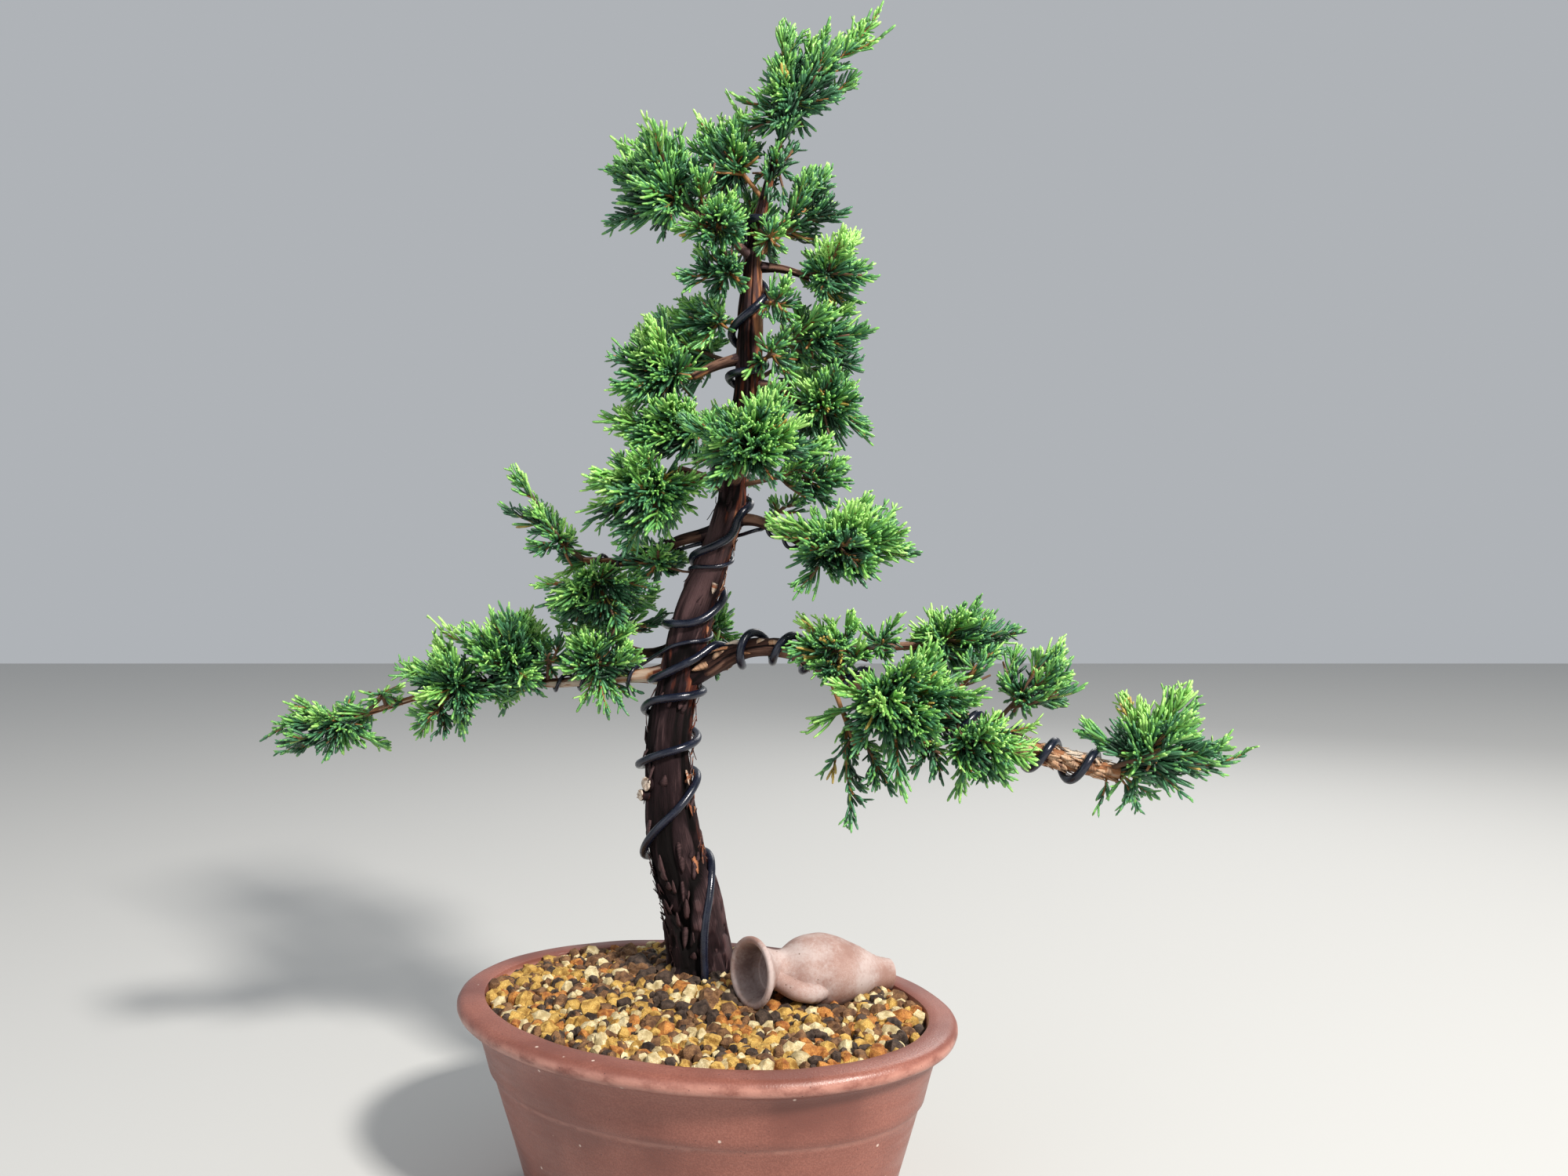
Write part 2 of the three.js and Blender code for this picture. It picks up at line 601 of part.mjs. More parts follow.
// Foliage
// The space of a mass: an ellipsoid that leans to the right
class Space {
  constructor({ centre, radii, lean = 0 }) {
    this.centre = new THREE.Vector3(...centre);
    this.radii = new THREE.Vector3(...radii);
    this.turn = new THREE.Quaternion().setFromAxisAngle(AWAY, THREE.MathUtils.degToRad(lean));
    this.turnBack = this.turn.clone().invert();
  }

  // 0 at the centre and 1 on the surface
  depth(point) {
    return point.clone().sub(this.centre).applyQuaternion(this.turnBack).divide(this.radii).length();
  }

  // The point at a depth in a direction given on the unit sphere
  point(direction, depth) {
    const fromCentre = direction.clone().multiply(this.radii).multiplyScalar(depth);
    return fromCentre.applyQuaternion(this.turn).add(this.centre);
  }
}

// A straight three-sided twig between two points
function twigSolid(start, end, startRadius, endRadius) {
  const along = end.clone().sub(start);
  const twig = new THREE.CylinderGeometry(endRadius, startRadius, along.length(), TWIG_SIDES);
  const turn = new THREE.Quaternion().setFromUnitVectors(AWAY, along.clone().normalize());
  twig.applyQuaternion(turn);
  twig.translate(...start.clone().add(end).multiplyScalar(0.5).toArray());
  return solidOf(twig);
}

// A round form of many faces, each with its middle and the way it faces from the centre
function facesOf(geometry, centre) {
  const corners = geometry.getAttribute('position');
  const faces = [];
  for (let i = 0; i < corners.count; i += 3) {
    const face = [0, 1, 2].map((k) => new THREE.Vector3().fromBufferAttribute(corners, i + k));
    const middle = face[0].clone().add(face[1]).add(face[2]).divideScalar(3);
    faces.push({ face, middle, facing: middle.clone().sub(centre).normalize() });
  }
  return faces;
}

// The small core of a spray, turned until one face looks along the spray
function sprayCore(centre, along, spin, grow = 0) {
  const core = new THREE.IcosahedronGeometry(SPRAY_CORE + grow);
  const [first] = facesOf(core, new THREE.Vector3());
  const turn = new THREE.Quaternion().setFromUnitVectors(first.facing, along);
  turn.premultiply(new THREE.Quaternion().setFromAxisAngle(along, spin));
  core.applyQuaternion(turn);
  reshape(core, (point) => point.addScaledVector(along, point.dot(along) * SPRAY_STRETCH).add(centre));
  return facesOf(core, centre);
}

// The dense inside of a mass: a round form of its space's own proportions
function massCore(space, depth, grow = 0) {
  const core = new THREE.IcosahedronGeometry(1, 1);
  reshape(core, (point) => point.copy(space.point(point, depth).addScaledVector(point, grow)));
  return facesOf(core, space.centre);
}

// The solid of the faces, where each face that has a tip is drawn out to it as a needle
function needled(faces, tips = []) {
  const points = [];
  faces.forEach(({ face: [a, b, c] }, i) => {
    if (tips[i]) points.push(a, b, tips[i], b, c, tips[i], c, a, tips[i]);
    else points.push(a, b, c);
  });
  return solidOf(new THREE.BufferGeometry().setFromPoints(points));
}

// One such needle by itself: wider by a factor, and without the first part of its length
function needleSolid({ face, middle }, tip, wider, from = 0) {
  const [a, b, c] = face.map((corner) => middle.clone().lerp(corner, wider).lerp(tip, from));
  return solidOf(new THREE.BufferGeometry().setFromPoints([a, b, tip, b, c, tip, c, a, tip, c, b, a]));
}

// A direction spread evenly over the sphere by the golden angle
function evenDirection(i, count, random) {
  const height = 1 - (2 * (i + 0.5)) / count;
  const around = i * GOLDEN_TURN + (random() - 0.5) * 0.5;
  const across = Math.sqrt(1 - height ** 2);
  return new THREE.Vector3(Math.cos(around) * across, Math.sin(around) * across, height);
}

// How many separate skins a solid has: a second one would be a loose scrap or a sealed hollow
function shellCount(solid) {
  const { triVerts, numVert } = solid.getMesh();
  const parent = Array.from({ length: numVert }, (_, i) => i);
  const root = (i) => {
    let top = i;
    while (parent[top] !== top) top = parent[top];
    parent[i] = top;
    return top;
  };
  for (let i = 0; i < triVerts.length; i += 3) {
    parent[root(triVerts[i + 1])] = root(triVerts[i]);
    parent[root(triVerts[i + 2])] = root(triVerts[i]);
  }
  return parent.filter((top, i) => top === i).length;
}

const spaces = MASSES.map((mass) => new Space(mass));

function inOwnSpace(index, point) {
  const own = spaces[index].depth(point);
  return own < SPACE_MARGIN && spaces.every((space, i) => i === index || space.depth(point) > own);
}

// The stem runs from inside its limb to a heart that lies short of the middle of the mass.
// It leaves the limb at the nearest part to the one named where no wire or other limb is in its way.
function stemOf(index) {
  const mass = MASSES[index];
  const limb = limbs[mass.limb];
  const centre = spaces[index].centre;
  const bark = limb.solid(GAP);
  const tries = mass.at === 1 ? [0] : STEM_TRIES;
  for (const step of tries) {
    const at = mass.at + (step * STEM_SLIDE) / limb.path.getLength();
    const start = limb.path.getPointAt(at);
    const along = centre.clone().sub(start);
    const shortest = limb.radius(at) + SHORTEST_STEM;
    const length = Math.max(along.length() - HEART_DEPTH * Math.min(...mass.radii), shortest);
    const heart = start.clone().addScaledVector(along.normalize(), length);
    const foot = start.clone().lerp(heart, Math.min(1, (limb.radius(at) + SHORTEST_STEM / 2) / length));
    if (at === 1) start.addScaledVector(limb.path.getTangentAt(1), -1);
    const whole = twigSolid(start, heart, STEM_RADIUS, TWIG_RADIUS);
    const grown = twigSolid(start, heart, STEM_RADIUS + GAP, TWIG_RADIUS + GAP);
    if (!isFree(grown.subtract(bark), [limb.name])) continue;
    return { foot, heart, solid: whole.subtract(bark), random: seeded(SEED * (index + 1)) };
  }
  throw new Error(`${mass.name} finds no way out of its limb`);
}

// Twigs go out from the stem to all sides of the space, and each ends in a spray that reaches the surface.
// Between them a smaller core stands round the stem, with needles of its own.
function growMass(index, stem) {
  const { foot, heart, random } = stem;
  const space = spaces[index];
  const { name, radii: [a, b, c] } = MASSES[index];
  let solid = stem.solid;
  const fuse = (piece, test) => {
    if (!isFree(test, [name]) || solid.intersect(piece).isEmpty()) return false;
    const joined = solid.add(piece);
    if (shellCount(joined) > 1) return false;
    solid = joined;
    return true;
  };
  const addNeedled = (faces, grownFaces, tipOf) => {
    const tips = faces.map((face) => {
      const tip = tipOf(face);
      if (!tip || !inOwnSpace(index, tip)) return null;
      const outer = needleSolid(face, tip, 1, 0.2);
      const isClear = isFree(needleSolid(face, tip, 1.25), [name]) && solid.intersect(outer).isEmpty();
      return isClear ? tip : null;
    });
    return fuse(needled(faces, tips), needled(grownFaces));
  };
  const addSpray = (centre, along, length) => {
    const spin = random() * Math.PI;
    const forwardTip = ({ middle, facing }) => {
      const forward = facing.dot(along);
      const reach = length * (0.7 + 0.2 * forward) * (0.85 + 0.25 * random());
      if (forward < NEEDLES_TO) return null;
      const lean = facing.clone().addScaledVector(along, NEEDLE_LEAN).normalize();
      return middle.clone().addScaledVector(lean, reach);
    };
    addNeedled(sprayCore(centre, along, spin), sprayCore(centre, along, spin, GAP), forwardTip);
  };
  const count = Math.round(FEWEST_TWIGS + (a * b + b * c + c * a) / SPACE_PER_TWIG);
  for (let i = 0; i < count; i += 1) {
    const outer = space.point(evenDirection(i, count, random), 1);
    const base = foot.clone().lerp(heart, 0.4 + 0.6 * random());
    const end = base.clone().lerp(outer, TWIG_REACH);
    if (!inOwnSpace(index, end)) continue;
    const twig = twigSolid(base, end, TWIG_RADIUS, TWIG_TIP_RADIUS);
    const grown = twigSolid(base, end, TWIG_RADIUS + GAP, TWIG_TIP_RADIUS + GAP);
    if (fuse(twig, grown)) addSpray(end, outer.clone().sub(base).normalize(), end.distanceTo(outer));
  }
  const toSurface = ({ middle }) => {
    const stretch = (0.75 + 0.3 * random()) / space.depth(middle);
    return random() < CORE_NEEDLES ? space.centre.clone().lerp(middle, stretch) : null;
  };
  CORE_DEPTHS.some((depth) => addNeedled(massCore(space, depth), massCore(space, depth, GAP), toSurface));
  return solid;
}

const built = [];
const nodes = [];

function boxOf(solid) {
  const { min, max } = solid.boundingBox();
  return new THREE.Box3(new THREE.Vector3(...min), new THREE.Vector3(...max));
}

function keep(name, solid, material) {
  built.push({ name, solid, box: boxOf(solid) });
  nodes.push({ name, solid, material });
}

function isFree(solid, ignore) {
  const box = boxOf(solid);
  return built.every((other) => ignore.includes(other.name) || !box.intersectsBox(other.box)
    || solid.intersect(other.solid).isEmpty());
}

keep('pot', potSolid(), STONEWARE);
keep('soil', soilSolid(jarSolid(GAP)), GRAVEL);
keep('jar', jarSolid(), TERRACOTTA);
keep('trunk', trunkSolid(), BARK);
for (const bough of BOUGHS) {
  keep(bough.name, limbs[bough.name].solid().subtract(limbs[bough.parent].solid(GAP)), BARK);
}
for (const [name, [points, wire]] of Object.entries(wirePoints())) {
  keep(name, wireSolid(points, wire), WIRE);
}

// All stems stand before any twig grows, so that no twig takes a stem's way
const stems = MASSES.map((mass, index) => stemOf(index));
stems.forEach(({ solid }, index) => {
  built.push({ name: MASSES[index].name, solid, box: boxOf(solid) });
});
MASSES.forEach((mass, index) => {
  const solid = growMass(index, stems[index]);
  const row = built.find((item) => item.name === mass.name);
  row.solid = solid;
  row.box = boxOf(solid);
  nodes.push({ name: mass.name, solid, material: FOLIAGE });
});

const model = new THREE.Group();
for (const { name, solid, material } of nodes) {
  const mesh = new THREE.Mesh(geometryOf(solid), material);
  mesh.name = name;
  model.add(mesh);
}

export default model;
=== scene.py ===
"""A juniper bonsai in an oval stoneware pot, with its training wires and a small clay jar on the gravel.

Metres, +Z up, +X to the right of the front view, -Y towards the viewer.
The origin is the centre of the pot's flat underside.
"""

import logging
import math
from dataclasses import dataclass, field
from enum import Enum
from typing import Callable, NamedTuple, Sequence

import bmesh
import bpy
import numpy as np
from mathutils import Matrix, Vector


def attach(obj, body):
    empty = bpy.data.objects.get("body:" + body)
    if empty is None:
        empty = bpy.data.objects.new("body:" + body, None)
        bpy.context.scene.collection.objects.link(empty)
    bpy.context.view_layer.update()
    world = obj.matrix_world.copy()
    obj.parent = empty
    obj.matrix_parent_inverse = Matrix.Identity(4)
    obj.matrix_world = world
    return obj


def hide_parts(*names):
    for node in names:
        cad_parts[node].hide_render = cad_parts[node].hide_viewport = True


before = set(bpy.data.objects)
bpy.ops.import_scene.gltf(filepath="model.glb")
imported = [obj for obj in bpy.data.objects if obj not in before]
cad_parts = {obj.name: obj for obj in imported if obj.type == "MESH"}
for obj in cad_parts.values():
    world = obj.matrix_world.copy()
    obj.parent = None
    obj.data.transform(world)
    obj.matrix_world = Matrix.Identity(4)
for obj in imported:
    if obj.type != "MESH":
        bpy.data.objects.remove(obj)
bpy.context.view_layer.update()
LOG = logging.getLogger("bonsai")
MM = 0.001
TURN = 2 * math.pi
GOLDEN_TURN = math.pi * (3 - math.sqrt(5))
SEED = 1009
RIGHT, _, UP = np.eye(3)
THIRDS = np.array([0.0, 0.33, 0.67, 1.0])
Array = np.ndarray
Triple = tuple[float, float, float]
Socket = bpy.types.NodeSocket
Piece = bpy.types.Object
Material = bpy.types.Material


class Slot(Enum):
    """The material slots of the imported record."""

    STONEWARE = "stoneware"
    GRAVEL = "gravel"
    TERRACOTTA = "terracotta"
    BARK = "bark"
    FOLIAGE = "foliage"
    WIRE = "wire"


class Region(Enum):
    """The parts of the crown that are joined into one leaf piece each."""

    TOP = "leaves_top"
    UPPER = "leaves_upper"
    MIDDLE = "leaves_middle"
    LEFT = "leaves_left"
    RIGHT = "leaves_right"
    BACK = "leaves_back"


class Mass(NamedTuple):
    """One mass of foliage, in millimetres and degrees, close to the part's source.

    It hangs on a limb at a part of that limb's length. Leaders are the tips of shoots that reach out of it.
    A tuft has no node of its own and belongs to the mass beside it.
    """

    name: str
    region: Region
    limb: str
    at: float
    centre: Triple
    radii: Triple
    fill: float = 1.0
    lean: float = 0.0
    leaders: tuple[Triple, ...] = ()


ROUTES = {
    "trunk": (
        (-1, 46, 136, 22), (-4, 46, 156, 19.6), (-12, 48, 196, 19.7), (-22, 49, 232, 18.6),
        (-26, 50, 270, 17.6), (-25, 50, 315, 16.7), (-20, 50, 345, 15.6), (-8, 51, 396, 14.2),
        (3, 50, 426, 11.6), (10, 49, 446, 10.3), (19, 47, 478, 10.4), (21, 44, 510, 9.8), (29, 40, 548, 9.4),
        (32, 35, 592, 8.6), (34, 31, 626, 6.8), (37, 28, 656, 4.4), (54, 21, 722, 2.2)),
    "bough_right_low": (
        (-17, 48, 350, 9), (4, 44, 361, 7.6), (30, 35, 373, 7.2), (62, 24, 373, 6.8), (94, 14, 357, 6.6),
        (138, 2, 341, 6.4), (215, -14, 311, 6.6), (248, -18, 302, 6.6), (276, -20, 295, 5)),
    "bough_right_low_upper": ((62, 24, 371, 4), (97, 30, 373, 3.4), (128, 36, 374, 3), (158, 40, 376, 2.4)),
    "bough_left_low": (
        (-27, 50, 354, 6), (-59, 60, 351, 4.4), (-108, 70, 346, 3.8), (-151, 78, 346, 3.3),
        (-193, 84, 340, 2.8), (-262, 90, 319, 2)),
    "bough_left_back": ((-24, 52, 371, 4), (-46, 66, 368, 3), (-66, 78, 374, 2.4)),
    "bough_left_middle": (
        (8, 49, 455, 4.5), (-19, 56, 449, 4), (-36, 62, 440, 3.6), (-63, 68, 434, 3.3), (-89, 70, 435, 2.6)),
    "bough_right_middle": (
        (17, 46, 464, 4.5), (36, 43, 463, 4), (54, 31, 455, 3.7), (68, 20, 447, 3.3), (84, 12, 439, 2.6)),
    "bough_left_high_front": ((19, 46, 484, 4), (2, 38, 492, 3.4), (-16, 26, 498, 2.6)),
    "bough_front": ((20, 44, 490, 4), (27, 22, 496, 3.3), (34, 0, 505, 2.5)),
    "bough_right_high": ((30, 38, 557, 4), (48, 38, 556, 3.3), (72, 36, 543, 2.4)),
    "bough_left_high": ((31, 36, 577, 3.8), (11, 34, 571, 3.2), (-7, 32, 562, 2.4)),
    "bough_right_top": ((34, 30, 638, 3.2), (56, 30, 636, 2.6), (74, 28, 630, 2)),
    "bough_left_top": ((35, 30, 644, 3), (16, 23, 658, 2.6), (-5, 15, 672, 2)),
    "bough_back_low": ((-16, 52, 368, 4.5), (-8, 74, 372, 3.4), (-1, 88, 378, 2.6)),
    "bough_back_middle": ((19, 46, 496, 4), (17, 70, 502, 3.2), (18, 92, 512, 2.4)),
}
MASSES = tuple(Mass(*row) for row in (
    ("foliage_apex", Region.TOP, "trunk", 1, (65, 17, 757), (32, 27, 61), 1.7, 41,
     ((124, 14, 813), (132, 13, 796), (88, 15, 803), (104, 14, 803), (116, 14, 808), (112, 15, 800))),
    ("foliage_top_left", Region.TOP, "bough_left_top", 1, (-29, 20, 694), (39, 34, 39), 1.35),
    ("foliage_top_left_high", Region.TOP, "trunk", 0.93, (17, 28, 715), (32, 28, 38), 1.5, 0,
     ((17, 26, 755), (-6, 24, 744))),
    ("foliage_top_front", Region.TOP, "bough_left_top", 0.55, (11, 0, 659), (27, 27, 28), 1.3),
    ("foliage_top_front_low", Region.TOP, "trunk", 0.83, (12, 9, 634), (25, 24, 28), 1.3),
    ("foliage_top_right", Region.TOP, "trunk", 0.86, (77, 34, 684), (26, 26, 34), 1.35),
    ("foliage_upper_right_high", Region.UPPER, "bough_right_top", 1, (91, 26, 634), (30, 31, 31), 1.2),
    ("foliage_upper_right", Region.UPPER, "trunk", 0.76, (90, 30, 592), (32, 30, 31), 1.25),
    ("foliage_right_high", Region.UPPER, "bough_right_high", 1, (87, 34, 545), (32, 34, 36), 1.25),
    ("foliage_upper_left", Region.UPPER, "trunk", 0.79, (-1, 34, 602), (27, 27, 27), 1.2),
    ("foliage_left_high", Region.UPPER, "bough_left_high", 1, (-35, 28, 566), (32, 34, 46), 1.2),
    ("foliage_front", Region.MIDDLE, "bough_front", 1, (36, -22, 516), (45, 38, 36), 1.1),
    ("foliage_right_middle_high", Region.MIDDLE, "trunk", 0.6, (80, 14, 497), (27, 29, 32), 1.2),
    ("foliage_left_middle_high", Region.MIDDLE, "trunk", 0.66, (-29, 22, 526), (36, 34, 34), 1.2),
    ("foliage_left_high_front", Region.MIDDLE, "bough_left_high_front", 1, (-37, 6, 480), (43, 36, 35)),
    ("foliage_right_middle", Region.MIDDLE, "bough_right_middle", 1, (97, -4, 448), (44, 39, 35)),
    ("foliage_left_middle", Region.LEFT, "bough_left_middle", 0.85, (-81, 52, 411), (47, 38, 31)),
    ("foliage_left_middle_shoot", Region.LEFT, "bough_left_middle", 1, (-113, 71, 455), (23, 20, 50), 1.5,
     -42, ((-146, 72, 497), (-139, 70, 506))),
    ("foliage_left_low_inner", Region.LEFT, "bough_left_low", 0.22, (-79, 53, 369), (46, 31, 30), 1, 0,
     ((-60, 50, 329), (-76, 52, 325), (-92, 54, 326), (-48, 52, 334), (-39, 50, 338), (-68, 48, 321),
      (-84, 50, 331), (-54, 48, 324))),
    ("foliage_left_low_middle", Region.LEFT, "bough_left_low", 0.5, (-144, 74, 368), (45, 43, 38)),
    ("foliage_left_low_outer", Region.LEFT, "bough_left_low", 0.62, (-183, 66, 346), (37, 34, 36), 1, 0,
     ((-211, 66, 304), (-178, 66, 308), (-199, 66, 384), (-224, 68, 362))),
    ("foliage_left_low_tip", Region.LEFT, "bough_left_low", 1, (-285, 90, 312), (45, 32, 27), 1.2, 0,
     ((-334, 88, 300), (-322, 86, 292), (-318, 90, 330))),
    ("foliage_right_low_inner", Region.RIGHT, "bough_right_low_upper", 0.4, (89, -4, 374), (31, 29, 31)),
    ("foliage_right_low_upper", Region.RIGHT, "bough_right_low_upper", 1, (179, 40, 381), (42, 40, 32)),
    ("foliage_right_low_outer", Region.RIGHT, "bough_right_low", 0.72, (226, 2, 355), (34, 34, 27)),
    ("foliage_right_low_middle", Region.RIGHT, "bough_right_low", 0.45, (135, -28, 339), (53, 38, 41)),
    ("foliage_right_low_hanging", Region.RIGHT, "bough_right_low", 0.36, (107, -22, 302), (21, 22, 38)),
    ("foliage_right_low_front", Region.RIGHT, "bough_right_low", 0.6, (183, -37, 313), (34, 32, 32), 1, 0,
     ((218, -36, 320), (222, -30, 330))),
    ("foliage_right_low_tip", Region.RIGHT, "bough_right_low", 1, (302, -22, 314), (42, 34, 36), 1.35, 0,
     ((362, -24, 313), (352, -18, 324), (348, -22, 306), (258, -26, 270), (274, -30, 272), (289, -26, 270),
      (302, -24, 278), (288, -22, 347), (266, -27, 279), (281, -28, 277))),
    ("foliage_back_low", Region.BACK, "bough_back_low", 1, (4, 106, 386), (25, 27, 28)),
    ("foliage_back_middle", Region.BACK, "bough_back_middle", 1, (23, 116, 528), (41, 36, 39)),
    ("foliage_back_left", Region.BACK, "trunk", 0.74, (-20, 92, 595), (31, 34, 39)),
    ("foliage_back_right", Region.BACK, "trunk", 0.72, (77, 92, 592), (31, 34, 39)),
    ("foliage_back_top", Region.BACK, "trunk", 0.85, (33, 80, 681), (29, 31, 35)),
    ("foliage_left_back", Region.BACK, "bough_left_back", 1, (-77, 92, 400), (47, 36, 28)),
    ("tuft_top_inner", Region.TOP, "trunk", 0.95, (50, 26, 702), (20, 20, 32), 1.5, 20),
    ("tuft_left_middle_inner", Region.LEFT, "bough_left_middle", 0.55, (-37, 58, 435), (37, 24, 24)),
    ("tuft_upper_inner", Region.UPPER, "trunk", 0.74, (53, 14, 577), (24, 17, 25)),
    ("tuft_upper_inner_high", Region.UPPER, "trunk", 0.81, (56, 17, 613), (19, 17, 25)),
    ("tuft_top_fork", Region.TOP, "trunk", 0.88, (50, 14, 656), (19, 15, 20), 1.2),
    ("tuft_right_low_upper", Region.RIGHT, "bough_right_low_upper", 0.55, (122, 4, 380), (21, 19, 19)),
    ("tuft_fork", Region.BACK, "trunk", 0.38, (4, 68, 366), (12, 14, 18)),
    ("tuft_top_left_inner", Region.TOP, "bough_left_top", 0.8, (-2, 12, 688), (24, 20, 24), 1.7),
    ("tuft_right_middle_inner", Region.MIDDLE, "bough_right_middle", 0.35, (60, 28, 475), (23, 16, 12)),
    ("tuft_left_low_twig", Region.LEFT, "bough_left_low", 0.9, (-240, 84, 333), (24, 14, 13), 1.8),
    ("tuft_left_low_between", Region.LEFT, "bough_left_low", 0.38, (-113, 60, 368), (23, 20, 22)),
    ("tuft_left_low_hanging", Region.LEFT, "bough_left_low", 0.68, (-198, 66, 320), (22, 18, 18), 1.1),
    ("tuft_right_low_below", Region.RIGHT, "bough_right_low", 0.52, (153, -36, 308), (20, 19, 19)),
    ("tuft_right_low_between", Region.RIGHT, "bough_right_low", 0.62, (190, 4, 368), (21, 19, 16)),
    ("tuft_right_middle_front", Region.MIDDLE, "bough_right_middle", 0.95, (98, -27, 446), (22, 17, 20), 1.2),
    ("tuft_right_low_tip_front", Region.RIGHT, "bough_right_low", 0.97, (299, -42, 313), (22, 15, 20), 1.2),
))


def unit(vectors: Array) -> Array:
    """Vectors scaled to a length of one."""
    return vectors / np.maximum(np.linalg.norm(vectors, axis=-1, keepdims=True), 1e-12)


def dots(a: Array, b: Array) -> Array:
    """Dot products row by row, kept as a last axis of one."""
    return np.sum(a * b, axis=-1, keepdims=True)


def mix(a: Array, b: Array, part: Array | float) -> Array:
    """The point a part of the way from a to b."""
    return a + (b - a) * part


def ease(x: Array) -> Array:
    """A smooth step from 0 to 1, held outside."""
    x = np.clip(x, 0.0, 1.0)
    return x * x * (3 - 2 * x)


def bell(x: Array, width: float) -> Array:
    """1 at zero, falling off to both sides within about two widths."""
    return np.exp(-(x / width) ** 2)


def ripples(waves: Sequence[Triple], angle: Array) -> Array:
    """Sine waves added up, each given by its size, its number a turn and its phase."""
    return sum(size * np.sin(number * angle + phase) for size, number, phase in waves)


def travelled(points: Array) -> Array:
    """The way along a line of points up to each of them."""
    return np.concatenate(([0.0], np.cumsum(np.linalg.norm(np.diff(points, axis=0), axis=1))))


def seeded(seed: int) -> Callable[[], float]:
    """The part source's own random numbers.

    Args:
        seed: Where the row starts.

    Returns:
        A function that gives the next number between 0 and 1.
    """
    state = seed

    def draw() -> float:
        """The next number of the row."""
        nonlocal state
        state = (state * 1664525 + 1013904223) % 4294967296
        return state / 4294967296

    return draw


def directions(count: int, slips: Array | float = 0.0) -> Array:
    """Directions spread evenly over the sphere by the golden angle, as the source spreads its twigs.

    Args:
        count: How many.
        slips: What is added to each one's turn.

    Returns:
        One direction a row.
    """
    i = np.arange(count)
    height = 1 - (2 * (i + 0.5)) / count
    turn = i * GOLDEN_TURN + slips
    across = np.sqrt(1 - height ** 2)
    return np.stack([np.cos(turn) * across, np.sin(turn) * across, height], 1)


def lattice(rng: np.random.Generator, along: Array, around: Array, cell: float, columns: int) -> Array:
    """Smooth noise between 0 and 1 over a limb's surface that closes on itself round the limb.

    Args:
        rng: Source of the lattice's values.
        along: Distance along the limb, in metres.
        around: Angle round the limb, in turns.
        cell: Size of a cell along the limb, in metres.
        columns: Number of cells round the limb.

    Returns:
        The noise, in the shape of along.
    """
    s = (along - along.min()) / cell
    a = (around % 1.0) * columns
    table = rng.random((int(s.max()) + 3, columns))
    i, j = s.astype(int), a.astype(int) % columns
    fs, fa = ease(s - i), ease(a - np.floor(a))
    k = (j + 1) % columns
    return mix(mix(table[i, j], table[i, k], fa), mix(table[i + 1, j], table[i + 1, k], fa), fs)


def catmull_rom(route: Array, place: Array) -> Array:
    """Points of a centripetal Catmull-Rom curve.

    Args:
        route: The points that the curve goes through.
        place: Places on the curve, where whole numbers are the route's own points.

    Returns:
        One point a row.
    """
    padded = np.vstack([2 * route[0] - route[1], route, 2 * route[-1] - route[-2]])
    i = np.clip(place.astype(int), 0, len(route) - 2)
    w = (place - i)[:, None]
    p0, p1, p2, p3 = (padded[i + k] for k in range(4))
    d0, d1, d2 = (np.sqrt(np.maximum(np.linalg.norm(b - a, axis=1), 1e-9))[:, None]
                  for a, b in ((p0, p1), (p1, p2), (p2, p3)))
    t1 = ((p1 - p0) / d0 - (p2 - p0) / (d0 + d1) + (p2 - p1) / d1) * d1
    t2 = ((p2 - p1) / d1 - (p3 - p1) / (d1 + d2) + (p3 - p2) / d2) * d1
    return p1 + w * (t1 + w * (3 * (p2 - p1) - 2 * t1 - t2 + w * (2 * (p1 - p2) + t1 + t2)))


def smooth_line(route: Array, steps: int) -> Array:
    """A curve through a route with so many steps in all."""
    return catmull_rom(route, np.linspace(0, len(route) - 1, steps + 1))


class Limb:
    """A tapering limb along a centripetal Catmull-Rom curve, as the part's source has it."""

    SAMPLES = 1200

    def __init__(self, name: str) -> None:
        """Samples a named route; angles start at the right on the trunk and at the top elsewhere.

        Args:
            name: The limb's name among the routes.
        """
        self.name = name
        self.reference = RIGHT if name == "trunk" else UP
        route = np.array(ROUTES[name], float) * MM
        place = np.linspace(0, len(route) - 1, self.SAMPLES)
        self.points = catmull_rom(route[:, :3], place)
        self.radii = np.interp(place, np.arange(len(route)), route[:, 3])
        self.travel = travelled(self.points)
        self.length = float(self.travel[-1])
        self.tangents = unit(np.gradient(self.points, axis=0))

    def _at(self, table: Array, u: Array | float) -> Array:
        """Reads a sampled table at parts of the length."""
        s = np.atleast_1d(np.asarray(u, float)) * self.length
        return np.stack([np.interp(s, self.travel, column) for column in table.T], axis=-1)

    def point(self, u: Array | float) -> Array:
        """Points of the centre line."""
        return self._at(self.points, u)

    def radius(self, u: Array | float) -> Array:
        """Radii at parts of the length."""
        return self._at(self.radii[:, None], u)[:, 0]

    def basis(self, u: Array | float) -> tuple[Array, Array]:
        """The two directions across the limb from which angles are measured."""
        tangent = unit(self._at(self.tangents, u))
        across = unit(self.reference - dots(tangent, self.reference) * tangent)
        return across, np.cross(tangent, across)

    def around(self, u: Array | float, turns: Array | float, distance: Array | float) -> Array:
        """Points round the limb.

        Args:
            u: Parts of the length.
            turns: Angles from the reference direction.
            distance: Distances from the centre line, in metres.

        Returns:
            One point a row.
        """
        across, other = self.basis(u)
        angle = np.atleast_1d(np.asarray(turns, float))[:, None] * TURN
        distance = np.atleast_1d(np.asarray(distance, float))[:, None]
        return self.point(u) + (across * np.cos(angle) + other * np.sin(angle)) * distance

    def part_at_height(self, height: Array | float) -> Array:
        """The part of the length at which a rising limb passes a height in metres."""
        return np.interp(height, self.points[:, 2], self.travel / self.length)


